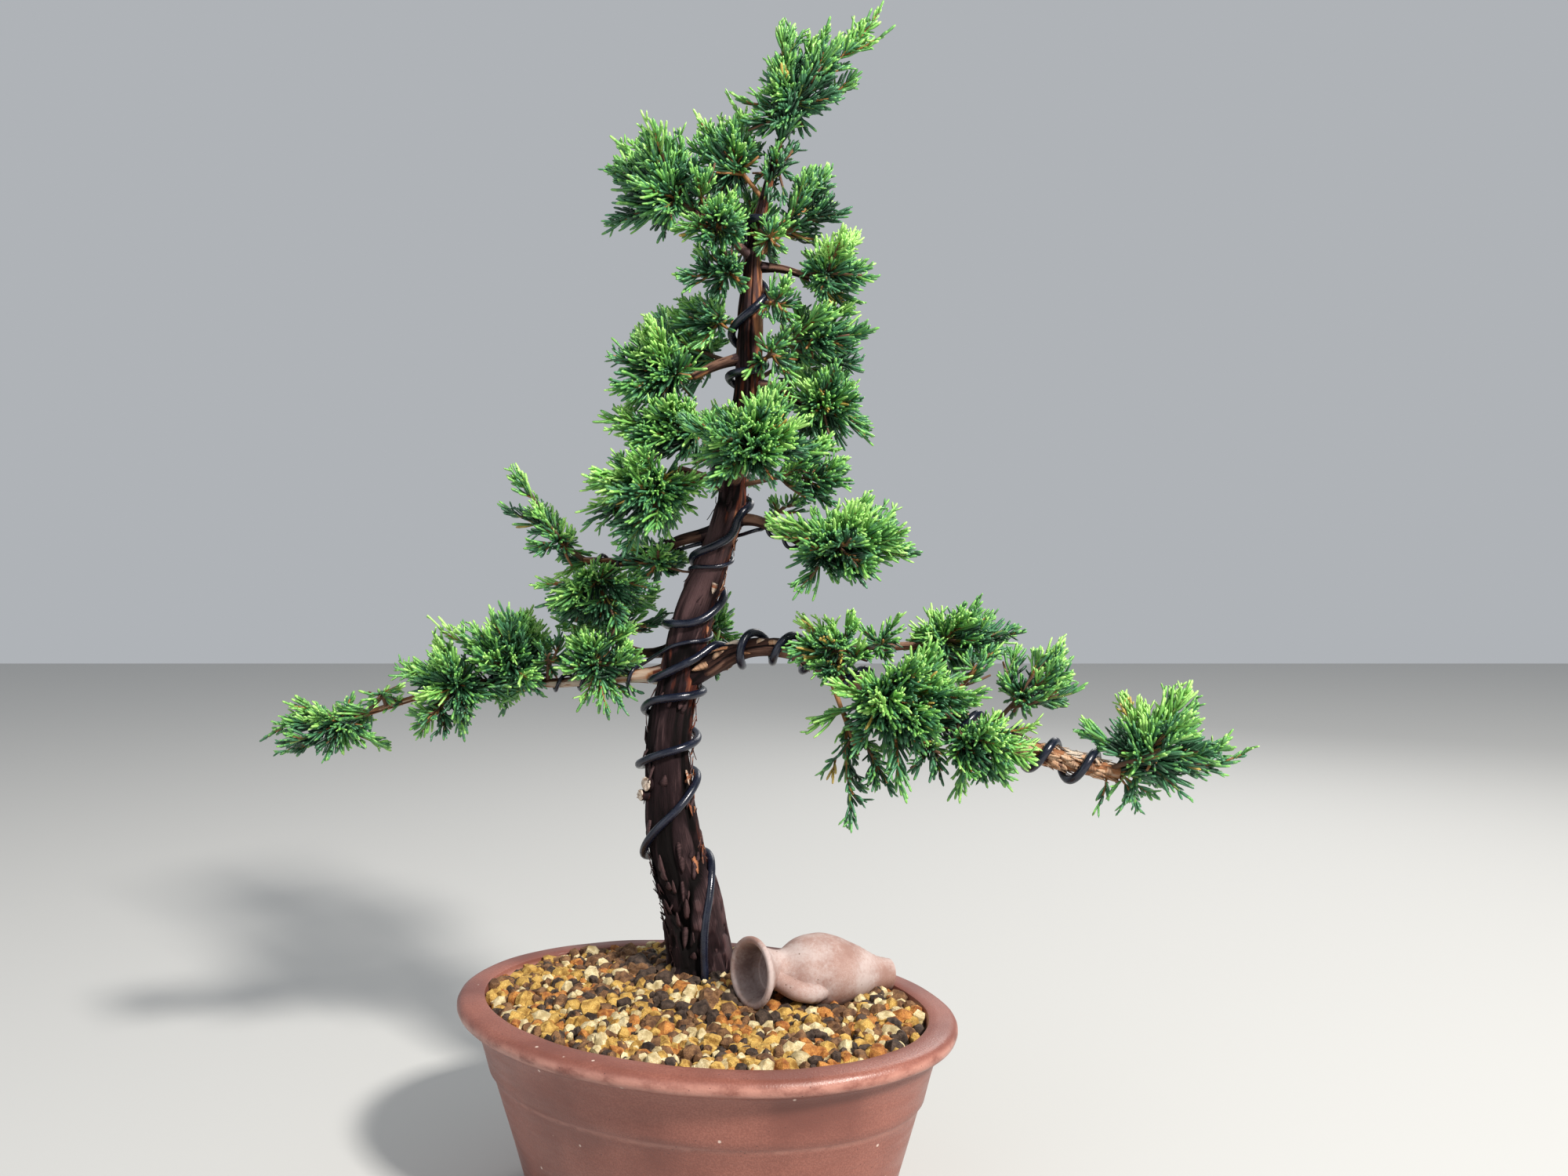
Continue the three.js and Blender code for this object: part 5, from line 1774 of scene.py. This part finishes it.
HEAVY = WireKind(2.9 * MM, 14)
THIN = WireKind(1.4 * MM, 12)
WINDINGS = (
    Winding("wire_trunk_low", HEAVY, (
        (0.775, 143), (0.79, 160), (0.83, 182), (0.93, 206), (1.05, 218), (1.25, 223), (1.5, 230),
        (1.75, 254), (2, 280), (2.25, 286), (2.5, 289), (2.75, 301), (3, 310), (3.25, 318), (3.5, 326),
        (3.65, 335), (3.95, 345), (4.25, 346), (4.5, 346), (4.62, 350), (4.85, 369)),
            "bough_right_low", 0.105, 0.96, 0, -10.2),
    Winding("wire_trunk_high", HEAVY, (
        (1.4, 384), (1.75, 391), (2, 414), (2.5, 432), (2.75, 447), (2.84, 457), (2.86, 470), (3, 477),
        (3.25, 482), (3.5, 499), (4, 518), (5, 545), (5.5, 562), (6, 572), (6.5, 592), (7, 622), (7.25, 634),
        (7.5, 664), (7.85, 670))),
    Winding("wire_left_low", THIN, ((1.15, 390), (1, 385), (0.75, 377), (0.6, 368)),
            "bough_left_low", 0.09, 0.62, 0, -7),
    Winding("wire_left_middle", THIN, (
        (0.05, 408), (0.25, 414), (0.5, 424), (0.75, 431), (1, 439), (1.5, 443)),
            "bough_left_middle", 0.3, 0.95, 0.5, -4),
    Winding("wire_right_middle", THIN, ((0.35, 450), (0.1, 455)), "bough_right_middle", 0.28, 0.95, 0.5, 3.5),
)


@dataclass
class Wires:
    """The five training wires, wound as the part's source winds them."""

    limbs: dict[str, Limb]
    gap: float = 0.55 * MM
    slack: float = 2.2 * MM
    rise: float = 90.0
    sides: int = 16
    end: float = 0.86

    def round_limb(self, winding: Winding, name: str, u: Array, turns: Array) -> Array:
        """Points at parts of a limb's length, with the wire's gap to its bark."""
        limb = self.limbs[name]
        return limb.around(u, turns, limb.radius(u) + winding.kind.radius + self.gap)

    def round_trunk(self, winding: Winding) -> Array:
        """Points round the trunk, evenly spaced where a turn counts as much as its usual rise.

        Args:
            winding: The wire.

        Returns:
            The points, one a row.
        """
        route = np.array([(turn, height / self.rise, 0) for turn, height in winding.marks], float)
        line = smooth_line(route, len(route) * 40 - 1)
        travel = travelled(line)
        places = np.linspace(0, travel[-1], max(4, int(round(travel[-1] * winding.kind.steps))))
        turns, heights = (np.interp(places, travel, line[:, k]) for k in (0, 1))
        u = self.limbs["trunk"].part_at_height(heights * self.rise * MM)
        return self.round_limb(winding, "trunk", u, turns)

    def round_bough(self, winding: Winding) -> Array:
        """Points round the wire's bough, a little slack below its outer half.

        Args:
            winding: The wire.

        Returns:
            The points, one a row.
        """
        part = np.linspace(0, 1, int(abs(winding.turns) * winding.kind.steps) + 1)
        u, turns = mix(winding.start, winding.end, part), winding.first + winding.turns * part
        slack = self.slack * ease((u - 0.55) / 0.15) * (0.5 - 0.5 * np.cos(turns * TURN))
        return self.round_limb(winding, winding.bough, u, turns) - UP * slack[:, None]

    def build(self, effects: Effects) -> list[tuple[Piece, list[str]]]:
        """Bends the wires, each with the CAD node that it stands for.

        Args:
            effects: The shared shader effects.

        Returns:
            The pieces, each with its nodes' names.
        """
        finish = ANODISED.material(effects)
        made = []
        for winding in WINDINGS:
            route = self.round_trunk(winding)
            if winding.bough:
                route = np.vstack([route, self.round_bough(winding)])
            line = smooth_line(route, (len(route) - 1) * 3)
            radii = np.full(len(line), winding.kind.radius)
            radii[[0, -1]] *= self.end
            wire = Bench.bent_rod(f"{winding.node}_bent", line, radii, self.sides)
            Bench.dress(wire, finish, 50)
            made.append((wire, [winding.node]))
        return made


class Space:
    """The space of one mass: an ellipsoid that leans to the right and swells along each of its sprays."""

    NOTCH = 0.62

    def __init__(self, mass: Mass) -> None:
        """Reads the mass, in metres.

        Args:
            mass: The mass, in millimetres.
        """
        self.centre = np.array(mass.centre) * MM
        self.radii = a, b, c = np.array(mass.radii) * MM
        self.area = a * b + b * c + c * a
        lean = math.radians(mass.lean)
        c, s = math.cos(lean), math.sin(lean)
        self.turn = np.array([[c, 0, s], [0, 1, 0], [-s, 0, c]])

    def share_out(self, rng: np.random.Generator, sprays: Array) -> None:
        """Gives each spray, by its direction on the unit sphere, its own reach and mood."""
        self.sprays = sprays
        self.reaches = rng.uniform(0.9, 1.38, len(sprays))
        self.moods = rng.normal(0, 0.5, len(sprays))

    def swell(self, ways: Array) -> tuple[Array, Array]:
        """How far the space reaches.

        Args:
            ways: Directions on the unit sphere.

        Returns:
            The reach as a part of the ellipsoid, and which spray it belongs to.
        """
        angle = np.arccos(np.clip(ways @ self.sprays.T, -1.0, 1.0))
        width = 1.6 / math.sqrt(len(self.sprays))
        swell = self.NOTCH + (self.reaches - self.NOTCH) * bell(angle, width)
        return swell.max(-1), swell.argmax(-1)

    def spray_depth(self, points: Array) -> tuple[Array, Array]:
        """The depth measured against the swelling of the nearest spray, and that spray's mood."""
        local = (points - self.centre) @ self.turn / self.radii
        swell, nearest = self.swell(unit(local))
        return np.linalg.norm(local, axis=-1) / swell, self.moods[nearest]

    def depth(self, points: Array) -> Array:
        """0 at the centre and 1 on the surface."""
        return np.linalg.norm((points - self.centre) @ self.turn / self.radii, axis=-1)

    def point(self, ways: Array, depth: Array) -> Array:
        """Points at depths in directions given on the unit sphere."""
        return (ways * self.radii * depth) @ self.turn.T + self.centre

    def outward(self, points: Array) -> Array:
        """The surface's own direction at points."""
        local = (points - self.centre) @ self.turn
        return unit((local / self.radii ** 2) @ self.turn.T)


@dataclass
class Crown:
    """The foliage: twigs, shoots and scale-leaved cords that grow on from the limbs.

    Each mass grows from one stem by the source's rule, carried on to finer twigs within the same space.
    One mass is in hand at a time, with its space and its own random numbers.
    """

    limbs: dict[str, Limb]
    stem_radii: tuple = (1.9 * MM, 1.7 * MM, 1.5 * MM, 1.25 * MM)
    twig_radii: tuple = (1.25 * MM, 1.1 * MM, 0.95 * MM, 0.75 * MM)
    shoot_radii: tuple = (0.8625 * MM, 0.75 * MM, 0.6375 * MM, 0.45 * MM)
    cord_radius: float = 0.98 * MM
    nub_radius: float = 0.82 * MM
    shortest_stem: float = 12 * MM
    heart_depth: float = 0.3
    twig_reach: float = 0.66
    ragged: float = 0.34
    mingle: float = 0.12
    slender: float = 0.55
    area_per_twig: float = 440e-6
    area_per_shoot: float = 52e-6
    usual_radius: float = 0.034
    shoot_length: float = 30 * MM
    fans: int = 15
    fan_spacing: float = 2.3 * MM
    cord_length: float = 22.5 * MM
    nub_length: float = 7.2 * MM
    nubs: tuple = ((0.36, 1.15, 1), (0.56, 1.0, -1), (0.76, 0.8, 1))
    wired: float = 655 * MM

    def __post_init__(self) -> None:
        """Prepares the spaces, the heaps and the limbs' sampled centre lines with their wires' reach."""
        self.spaces = [Space(mass) for mass in MASSES]
        self.leaves = {region: Heap() for region in Region}
        self.twigs = Heap()
        lines, clear = [], []
        for name, limb in self.limbs.items():
            u = np.linspace(0, 1, max(8, int(limb.length / 0.004)))
            wire = {"trunk": 4.4, "bough_right_low": 5.6}.get(name, 1.6) * MM
            lines.append(limb.point(u))
            clear.append(limb.radius(u) + np.where(lines[-1][:, 2] < self.wired, wire, 0.8 * MM))
        self.wood, self.wood_clear = np.concatenate(lines), np.concatenate(clear)

    def own(self, points: Array, margin: Array | float = 1.04) -> Array:
        """Which points lie in the mass's own space, grown by a margin, and no deeper in another.

        Args:
            points: Places, one a row.
            margin: The depth that the space is grown to.

        Returns:
            A truth value a place.
        """
        depth = self.space.depth(points)
        good = self.space.spray_depth(points)[0] < margin
        for space in self.spaces:
            if space is not self.space:
                good &= space.depth(points) > depth - self.mingle
        return good

    def off_wood(self, points: Array) -> Array:
        """Which points are clear of the trunk and boughs and their wires.

        Args:
            points: Places, one a row.

        Returns:
            A truth value a place.
        """
        good = np.ones(len(points), bool)
        for part in np.array_split(np.arange(len(points)), max(1, len(points) // 4000)):
            gap = np.linalg.norm(points[part][:, None] - self.wood[None], axis=2) - self.wood_clear
            good[part] = gap.min(1) > 0
        return good

    def grow(self) -> None:
        """Grows every mass: a stem, twigs to all sides, shoots from them, and fans of cords."""
        for index, (self.mass, self.space) in enumerate(zip(MASSES, self.spaces), start=1):
            self.rng = np.random.default_rng(SEED * index)
            foot, heart = self._stem()
            twigs, outers = self._twigs(foot, heart, seeded(SEED * index))
            tips, free = self._tips(outers)
            self._fans(self._shoots(twigs, tips), free)

    def _add_wood(self, lines: Curves, stations: Array, radii: Sequence[float], sides: int, share: float,
                  other: int) -> None:
        """Adds twigs or shoots.

        Args:
            lines: Their centre lines.
            stations: The places from 0 to 1 of their rings.
            radii: The radius at each ring.
            sides: Corners of the section.
            share: How many are orange.
            other: The material index of the rest.
        """
        path = lines.at(stations)
        across = unit(np.cross(lines.end - lines.start, UP + 0.3 * RIGHT))
        points, faces = tubes(path, np.broadcast_to(radii, path.shape[:2]), across, sides, pointed=False)
        self.twigs.add(points, faces, np.where(self.rng.random(len(path)) < share, 1, other))

    def _stem(self) -> tuple[Array, Array]:
        """Grows the stem, and gives the foot and the heart that its twigs grow between."""
        limb, space = self.limbs[self.mass.limb], self.space
        start = limb.point(self.mass.at)[0]
        radius = float(limb.radius(self.mass.at)[0])
        along = space.centre - start
        far = float(np.linalg.norm(along))
        length = max(far - self.heart_depth * float(space.radii.min()), radius + self.shortest_stem)
        heart = start + along / far * length
        line = Curves(start[None], mix(start, heart, 0.5)[None], heart[None])
        self._add_wood(line, THIRDS, self.stem_radii, 7, 0.35, 2)
        return mix(start, heart, min(1.0, (radius + self.shortest_stem / 2) / length)), heart

    def _twigs(self, foot: Array, heart: Array, draw: Callable[[], float]) -> tuple[Curves, Array]:
        """Grows the twigs.

        Args:
            foot: The lowest point of the stem with twigs.
            heart: Its end.
            draw: The source's random numbers.

        Returns:
            The twigs and the parts of the mass's own limb in its space, from which shoots grow too, and the
            places on the surface that the twigs point to.
        """
        space, rng = self.space, self.rng
        count = round(3 + space.area / self.area_per_twig)
        drawn = np.array([[draw(), draw()] for _ in range(count)])
        sprays = directions(count, (drawn[:, 0] - 0.5) * 0.5)
        starts = mix(foot, heart, 0.3 + 0.7 * drawn[:, 1:])
        space.share_out(rng, sprays)
        outers = space.point(sprays, space.reaches[:, None])
        ends = mix(starts, outers, self.twig_reach)
        kept = self.own(ends)
        starts, ends, outers = starts[kept], ends[kept], outers[kept]
        bow = rng.normal(0, 0.07, ends.shape) * np.linalg.norm(ends - starts, axis=1)[:, None]
        twigs = Curves(starts, mix(starts, ends, 0.5) + bow - UP * 0.002, ends)
        self._add_wood(twigs, THIRDS, self.twig_radii, 5, 0.35, 2)
        limb = self.limbs[self.mass.limb]
        points = limb.point(np.linspace(0, 1, max(2, int(limb.length / (8 * MM)))))
        inside = space.depth(points) < 0.98
        both = inside[:-1] & inside[1:]
        low, high = points[:-1][both], points[1:][both]
        parts = Curves(low, mix(low, high, 0.5), high)
        return Curves(*(np.vstack(pair) for pair in zip(twigs, parts))), outers

    def _tips(self, outers: Array) -> tuple[Array, Array]:
        """Where the shoots end.

        Args:
            outers: The places on the surface that the twigs point to.

        Returns:
            The tips, and which of them are leaders that may leave the space.
        """
        space, rng = self.space, self.rng
        count = int(round(space.area / self.area_per_shoot * self.mass.fill))
        outer = rng.random(count) < 0.68
        depth = np.where(outer, rng.uniform(0.84, 1.03, count), rng.uniform(0.45, 0.84, count))
        ways = unit(directions(count) + rng.normal(0, 0.5 / math.sqrt(count), (count, 3)))
        swell = space.swell(ways)[0]
        thick = rng.random(count) < np.clip((swell - 0.5) / 0.4, 0.35, 1)
        tips = np.concatenate([outers, space.point(ways, (depth * swell)[:, None])[thick]])
        tips = tips[self.own(tips) & self.off_wood(tips)]
        leaders = np.array(self.mass.leaders, float).reshape(-1, 3) * MM
        return np.concatenate([tips, leaders]), np.arange(len(tips) + len(leaders)) >= len(tips)

    def _shoots(self, twigs: Curves, tips: Array) -> Curves:
        """Shoots to their tips, each from the nearest twig or part of the limb.

        Args:
            twigs: What they grow from.
            tips: Where they end.

        Returns:
            The shoots.
        """
        way = unit(twigs.end - twigs.start)
        length = np.linalg.norm(twigs.end - twigs.start, axis=1)
        off = tips[:, None] - twigs.start[None]
        along = np.einsum("tmk,mk->tm", off, way)
        aside = np.linalg.norm(off - along[:, :, None] * way[None], axis=2)
        wanted = self.shoot_length * float(self.space.radii.min()) / self.usual_radius
        back = np.sqrt(np.maximum(wanted ** 2 - aside ** 2, (0.9 * aside) ** 2))
        part = np.clip((along - back) / length, 0.04, 0.98)
        root = twigs.start[None] + way[None] * (part * length)[:, :, None]
        reach = np.linalg.norm(tips[:, None] - root, axis=2)
        nearest = np.argmin(np.abs(reach - wanted) * 1.3 + aside, axis=1)
        rows = np.arange(len(tips))
        reach = reach[rows, nearest][:, None]
        starts = twigs.chosen(nearest).at(part[rows, nearest][:, None])[:, 0]
        sag = 0.05 + 0.1 * np.clip(self.space.outward(tips)[:, 2:3], 0, 1)
        controls = mix(starts, tips, 0.5) + way[nearest] * reach * 0.14 - UP * reach * sag
        return Curves(starts, controls + self.rng.normal(0, 0.05, controls.shape) * reach, tips)

    def _fans(self, shoots: Curves, free: Array) -> None:
        """Cords to both sides along each shoot, and one at its end.

        Args:
            shoots: The shoots.
            free: Which of them may leave the space.
        """
        rng, fans, tips = self.rng, self.fans, shoots.end
        count = len(tips)
        size = float(np.clip(self.space.radii.min() / self.usual_radius, 0.75, 1.1))
        reach = np.linalg.norm(tips - shoots.start, axis=1)
        leafed = rng.uniform(26, 38, count) * MM * np.where(free, 1.5, size)
        last = np.clip(1 - 10 * MM / reach, 0.45, 0.92)
        stations = np.stack([np.zeros(count), last * 0.5, last, last + 0.04], 1)
        self._add_wood(shoots, stations, self.shoot_radii, 4, 0.5, 0)
        k = np.arange(fans)
        back = (k + rng.uniform(-0.3, 0.3, (count, fans)) + 0.4) * self.fan_spacing
        t = last[:, None] - back / reach[:, None]
        grown = np.column_stack([(t > 0.06) & (back < leafed[:, None]), np.ones(count, bool)])
        t = np.clip(t, 0.02, 1)
        ahead = shoots.ahead(t)
        hint = unit(rng.normal(size=(count, 1, 3)))
        x = unit(hint - dots(hint, ahead) * ahead)
        turn = rng.normal(0, 0.6, (count, fans, 1)) + (k % 2)[None, :, None] * math.pi
        side = x * np.cos(turn) + np.cross(ahead, x) * np.sin(turn)
        young = np.clip(k / 6, 0, 1)[None]
        length = self.cord_length * size * mix(0.55, 1.0, young) * rng.uniform(0.66, 1.3, (count, fans))
        length = length * np.where(free, self.slender, 1.0)[:, None]
        spread = mix(0.42, 0.7, young)[:, :, None] + rng.normal(0, 0.1, (count, fans, 1))
        way = ahead * np.cos(spread) + side * np.sin(spread)
        lift = UP * (0.1 + 0.14 * np.clip(self.space.outward(tips)[:, 2], -0.5, 1))[:, None, None]
        bent = unit(way * 0.45 + ahead * 0.55 + lift)
        root = shoots.at(last[:, None])
        rest = tips[:, None] - root
        ending = (root, unit(rest), unit(unit(rest) + UP * 0.1), x[:, -1:], np.linalg.norm(rest, axis=2))
        root, way, bent, side, length = (np.concatenate(pair, 1)[grown] for pair in zip(
            (shoots.at(t), way, bent, side, length), ending))
        shoot = np.nonzero(grown)[0]
        free = free[shoot]
        margin = 0.92 + self.ragged * rng.random(len(root)) ** 2
        kept = np.zeros(len(root), bool)
        for shrink in (1.0, 0.74, 0.62):
            length = np.where(kept, length, length * shrink)
            middle = root + way * length[:, None] * 0.52
            end = middle + bent * length[:, None] * 0.5
            kept |= (self.own(end, margin) | free) & self.off_wood(end) & self.off_wood(middle)
        mood = rng.normal(0, 1, count)[shoot]
        self._cords(Curves(root, middle, end).chosen(kept), *(v[kept] for v in (side, length, mood, free)))

    def _cords(self, cords: Curves, side: Array, length: Array, mood: Array, free: Array) -> None:
        """The scale-leaved cords with their short side cords.

        Args:
            cords: The cords' centre lines.
            side: The direction across each cord in its fan.
            length: Their lengths.
            mood: A value a shoot, by which whole shoots are lighter or darker.
            free: Which cords may leave the space.
        """
        rng, count = self.rng, len(length)
        heap = self.leaves[self.mass.region]
        tone = self._tones(cords.end, mood)
        tip_tone = self._brighter(tone, 0.8)
        blunt = np.clip(1 - 0.9 * MM / length, 0.8, 0.97)
        stations = np.stack([np.zeros(count), np.full(count, 0.42), blunt - 0.16, blunt, np.ones(count)], 1)
        stout = self.cord_radius * rng.uniform(0.86, 1.12, count)[:, None] * np.array([0.85, 1.05, 1.02, 0.8])
        points, faces = tubes(cords.at(stations), stout, side, 4)
        heap.add(points, faces, [tone, tone, tip_tone, tone, tip_tone])
        bare = rng.random(count) < np.where(self.space.outward(cords.end)[:, 2] < -0.1, 0.72, 0.46)
        sign = np.where(rng.random(count) < 0.5, 1.0, -1.0)
        for part, scale, other_side in self.nubs:
            some = ~bare & (rng.random(count) < 0.68) & (length > 8 * MM)
            t = np.clip(part + rng.uniform(-0.06, 0.06, count), 0, 0.92)[some][:, None]
            base, ahead = cords.chosen(some).at(t)[:, 0], cords.chosen(some).ahead(t)[:, 0]
            across = unit(side[some] - dots(side[some], ahead) * ahead)
            across = across * (sign[some] * other_side)[:, None]
            across = unit(across + np.cross(ahead, across) * rng.normal(0, 0.45, (len(t), 1)))
            long = self.nub_length * scale * rng.uniform(0.7, 1.3, len(t))[:, None]
            tip = base + unit(ahead * 0.82 + across * 0.56) * long
            inside = self.own(tip) | free[some] | (rng.random(len(t)) < 0.25)
            base, tip, across = base[inside], tip[inside], across[inside]
            slim = np.broadcast_to(self.nub_radius * np.array([0.95, 0.92]), (len(base), 2))
            points, faces = tubes(np.stack([base, mix(base, tip, 0.8), tip], 1), slim, across, 3)
            body = self._brighter(tone[some][inside], 0.4)
            heap.add(points, faces, [body, body, self._brighter(body, 0.75)])

    def _brighter(self, tone: Array, share: float) -> Array:
        """The next brighter tone for a share of them, where there is one among the greens."""
        return np.where(tone < Tone.TIP.index, tone + (self.rng.random(len(tone)) < share), tone)

    def _tones(self, points: Array, mood: Array) -> Array:
        """Deals the tones: bright at the surface and on top, deep inside and below, as painted light and
        painted shade.

        Args:
            points: The ends of the cords.
            mood: A value a shoot, by which whole shoots are lighter or darker.

        Returns:
            The material index of each cord.
        """
        rng, count = self.rng, len(points)
        depth, spray_mood = self.space.spray_depth(points)
        depth = np.minimum(depth, 1.08)
        facing = self.space.outward(points)[:, 2]
        # Painted light and shade: cords deep in the mass and facing down get darker tones, those at the
        # surface and facing up brighter ones.
        score = 2.6 + 5.0 * (depth - 0.8) + 0.95 * facing + 0.5 * mood + spray_mood
        tone = np.clip(np.floor(score + rng.normal(0, 0.4, count)), 0, Tone.TIP.index).astype(int)
        gold = (mood > 2.1) & (depth < 0.9) & (rng.random(count) < 0.7)
        return np.where(gold, Tone.GOLD.index, tone)

    def build(self, effects: Effects) -> list[tuple[Piece, list[str]]]:
        """Makes the joined pieces, with the CAD nodes that they stand for.

        Args:
            effects: The shared shader effects.

        Returns:
            The pieces, each with its nodes' names.
        """
        tones = [tone.value.material(effects) for tone in Tone]
        made = []
        for region, heap in self.leaves.items():
            names = [mass.name for mass in MASSES if mass.region is region]
            nodes = [name for name in names if name.startswith("foliage")]
            made.append((heap.make(region.value, tones), nodes))
        made.append((self.twigs.make("twigs", [bark.value.material(effects) for bark in Twig]), []))
        return made


@dataclass
class Studio:
    """The pale floor, the soft light and the camera at the photograph's place."""

    eye: Triple = (0.0564, -0.817, 0.432)
    pitch: float = math.radians(88.9)
    lens: float = 27.99
    floor_size: float = 9.0
    pale: Triple = (0.52, 0.52, 0.51)
    sky: Triple = (0.86, 0.9, 0.95)
    lamps: tuple = (("key", (1.9, -2.15, 2.71), 232.0, 0.46, (1.0, 0.96, 0.9)),
                    ("fill", (-1.7, -1.5, 0.9), 7.0, 1.6, (0.9, 0.94, 1.0)),
                    ("back", (0.9, 1.6, 1.5), 14.0, 1.0, (1.0, 0.98, 0.95)))

    def build(self) -> Piece:
        """Makes the camera, the even surrounding, the lamps and the floor, and gives the floor."""
        scene = bpy.context.scene
        view = bpy.data.cameras.new("camera")
        view.lens, view.sensor_width = self.lens, 36.0
        view.clip_start, view.clip_end = 0.02, 30.0
        scene.camera = self._put("camera", view, self.eye)
        scene.camera.rotation_euler = (self.pitch, 0, 0)
        scene.world = bpy.data.worlds.new("studio")
        scene.world.use_nodes = True
        surrounding = scene.world.node_tree.nodes["Background"].inputs
        surrounding["Color"].default_value = (*self.sky, 1.0)
        surrounding["Strength"].default_value = 0.5
        for name, place, power, size, colour in self.lamps:
            light = bpy.data.lights.new(name, "AREA")
            light.energy, light.size, light.color = power, size, colour
            towards = Vector((0, 0, 0.4)) - Vector(place)
            self._put(name, light, place).rotation_euler = towards.to_track_quat("-Z", "Y").to_euler()
        Bench.clear()
        bpy.ops.mesh.primitive_plane_add(size=self.floor_size, location=(0, 0, 0))
        floor = bpy.context.object
        floor.name = "floor"
        paint = Paint("pale_floor", Base_Color=self.pale, Roughness=0.9, Specular_IOR_Level=0.1)
        floor.data.materials.append(paint.material)
        return floor

    @staticmethod
    def _put(name: str, data: bpy.types.ID, place: Triple) -> Piece:
        """A new object at a place in the scene.

        Args:
            name: The object's name.
            data: What it shows.
            place: Where it stands.

        Returns:
            The new object.
        """
        thing = bpy.data.objects.new(name, data)
        thing.location = place
        bpy.context.scene.collection.objects.link(thing)
        return thing


def finish_piece(piece: Piece, slot: Slot, nodes: Sequence[str] = ()) -> None:
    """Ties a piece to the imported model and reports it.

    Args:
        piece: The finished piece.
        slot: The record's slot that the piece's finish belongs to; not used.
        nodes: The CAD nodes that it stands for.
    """
    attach(piece, "root")
    if nodes:
        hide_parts(*nodes)
    LOG.info("%s: %d vertices, for %s", piece.name, len(piece.data.vertices), ", ".join(nodes) or "no node")


def main() -> None:
    """Builds the bonsai piece by piece."""
    logging.basicConfig(level=logging.INFO, format="%(message)s")
    bpy.context.scene.view_settings.view_transform = "Standard"
    effects = Effects()
    Studio().build()
    limbs = {name: Limb(name) for name in ROUTES}
    jar = Jar()
    gravel = Gravel()
    crown = Crown(limbs)
    crown.grow()
    finish_piece(Pot().build(effects), Slot.STONEWARE, ["pot"])
    finish_piece(gravel.ground(effects), Slot.GRAVEL, ["soil"])
    finish_piece(gravel.stones(effects, jar), Slot.GRAVEL)
    finish_piece(jar.build(effects), Slot.TERRACOTTA, ["jar"])
    for made, slot in ((Woodwork(limbs), Slot.BARK), (Wires(limbs), Slot.WIRE), (crown, Slot.FOLIAGE)):
        for piece, nodes in made.build(effects):
            finish_piece(piece, slot, nodes)
    Bench.clear()


if __name__ == "__main__":
    main()
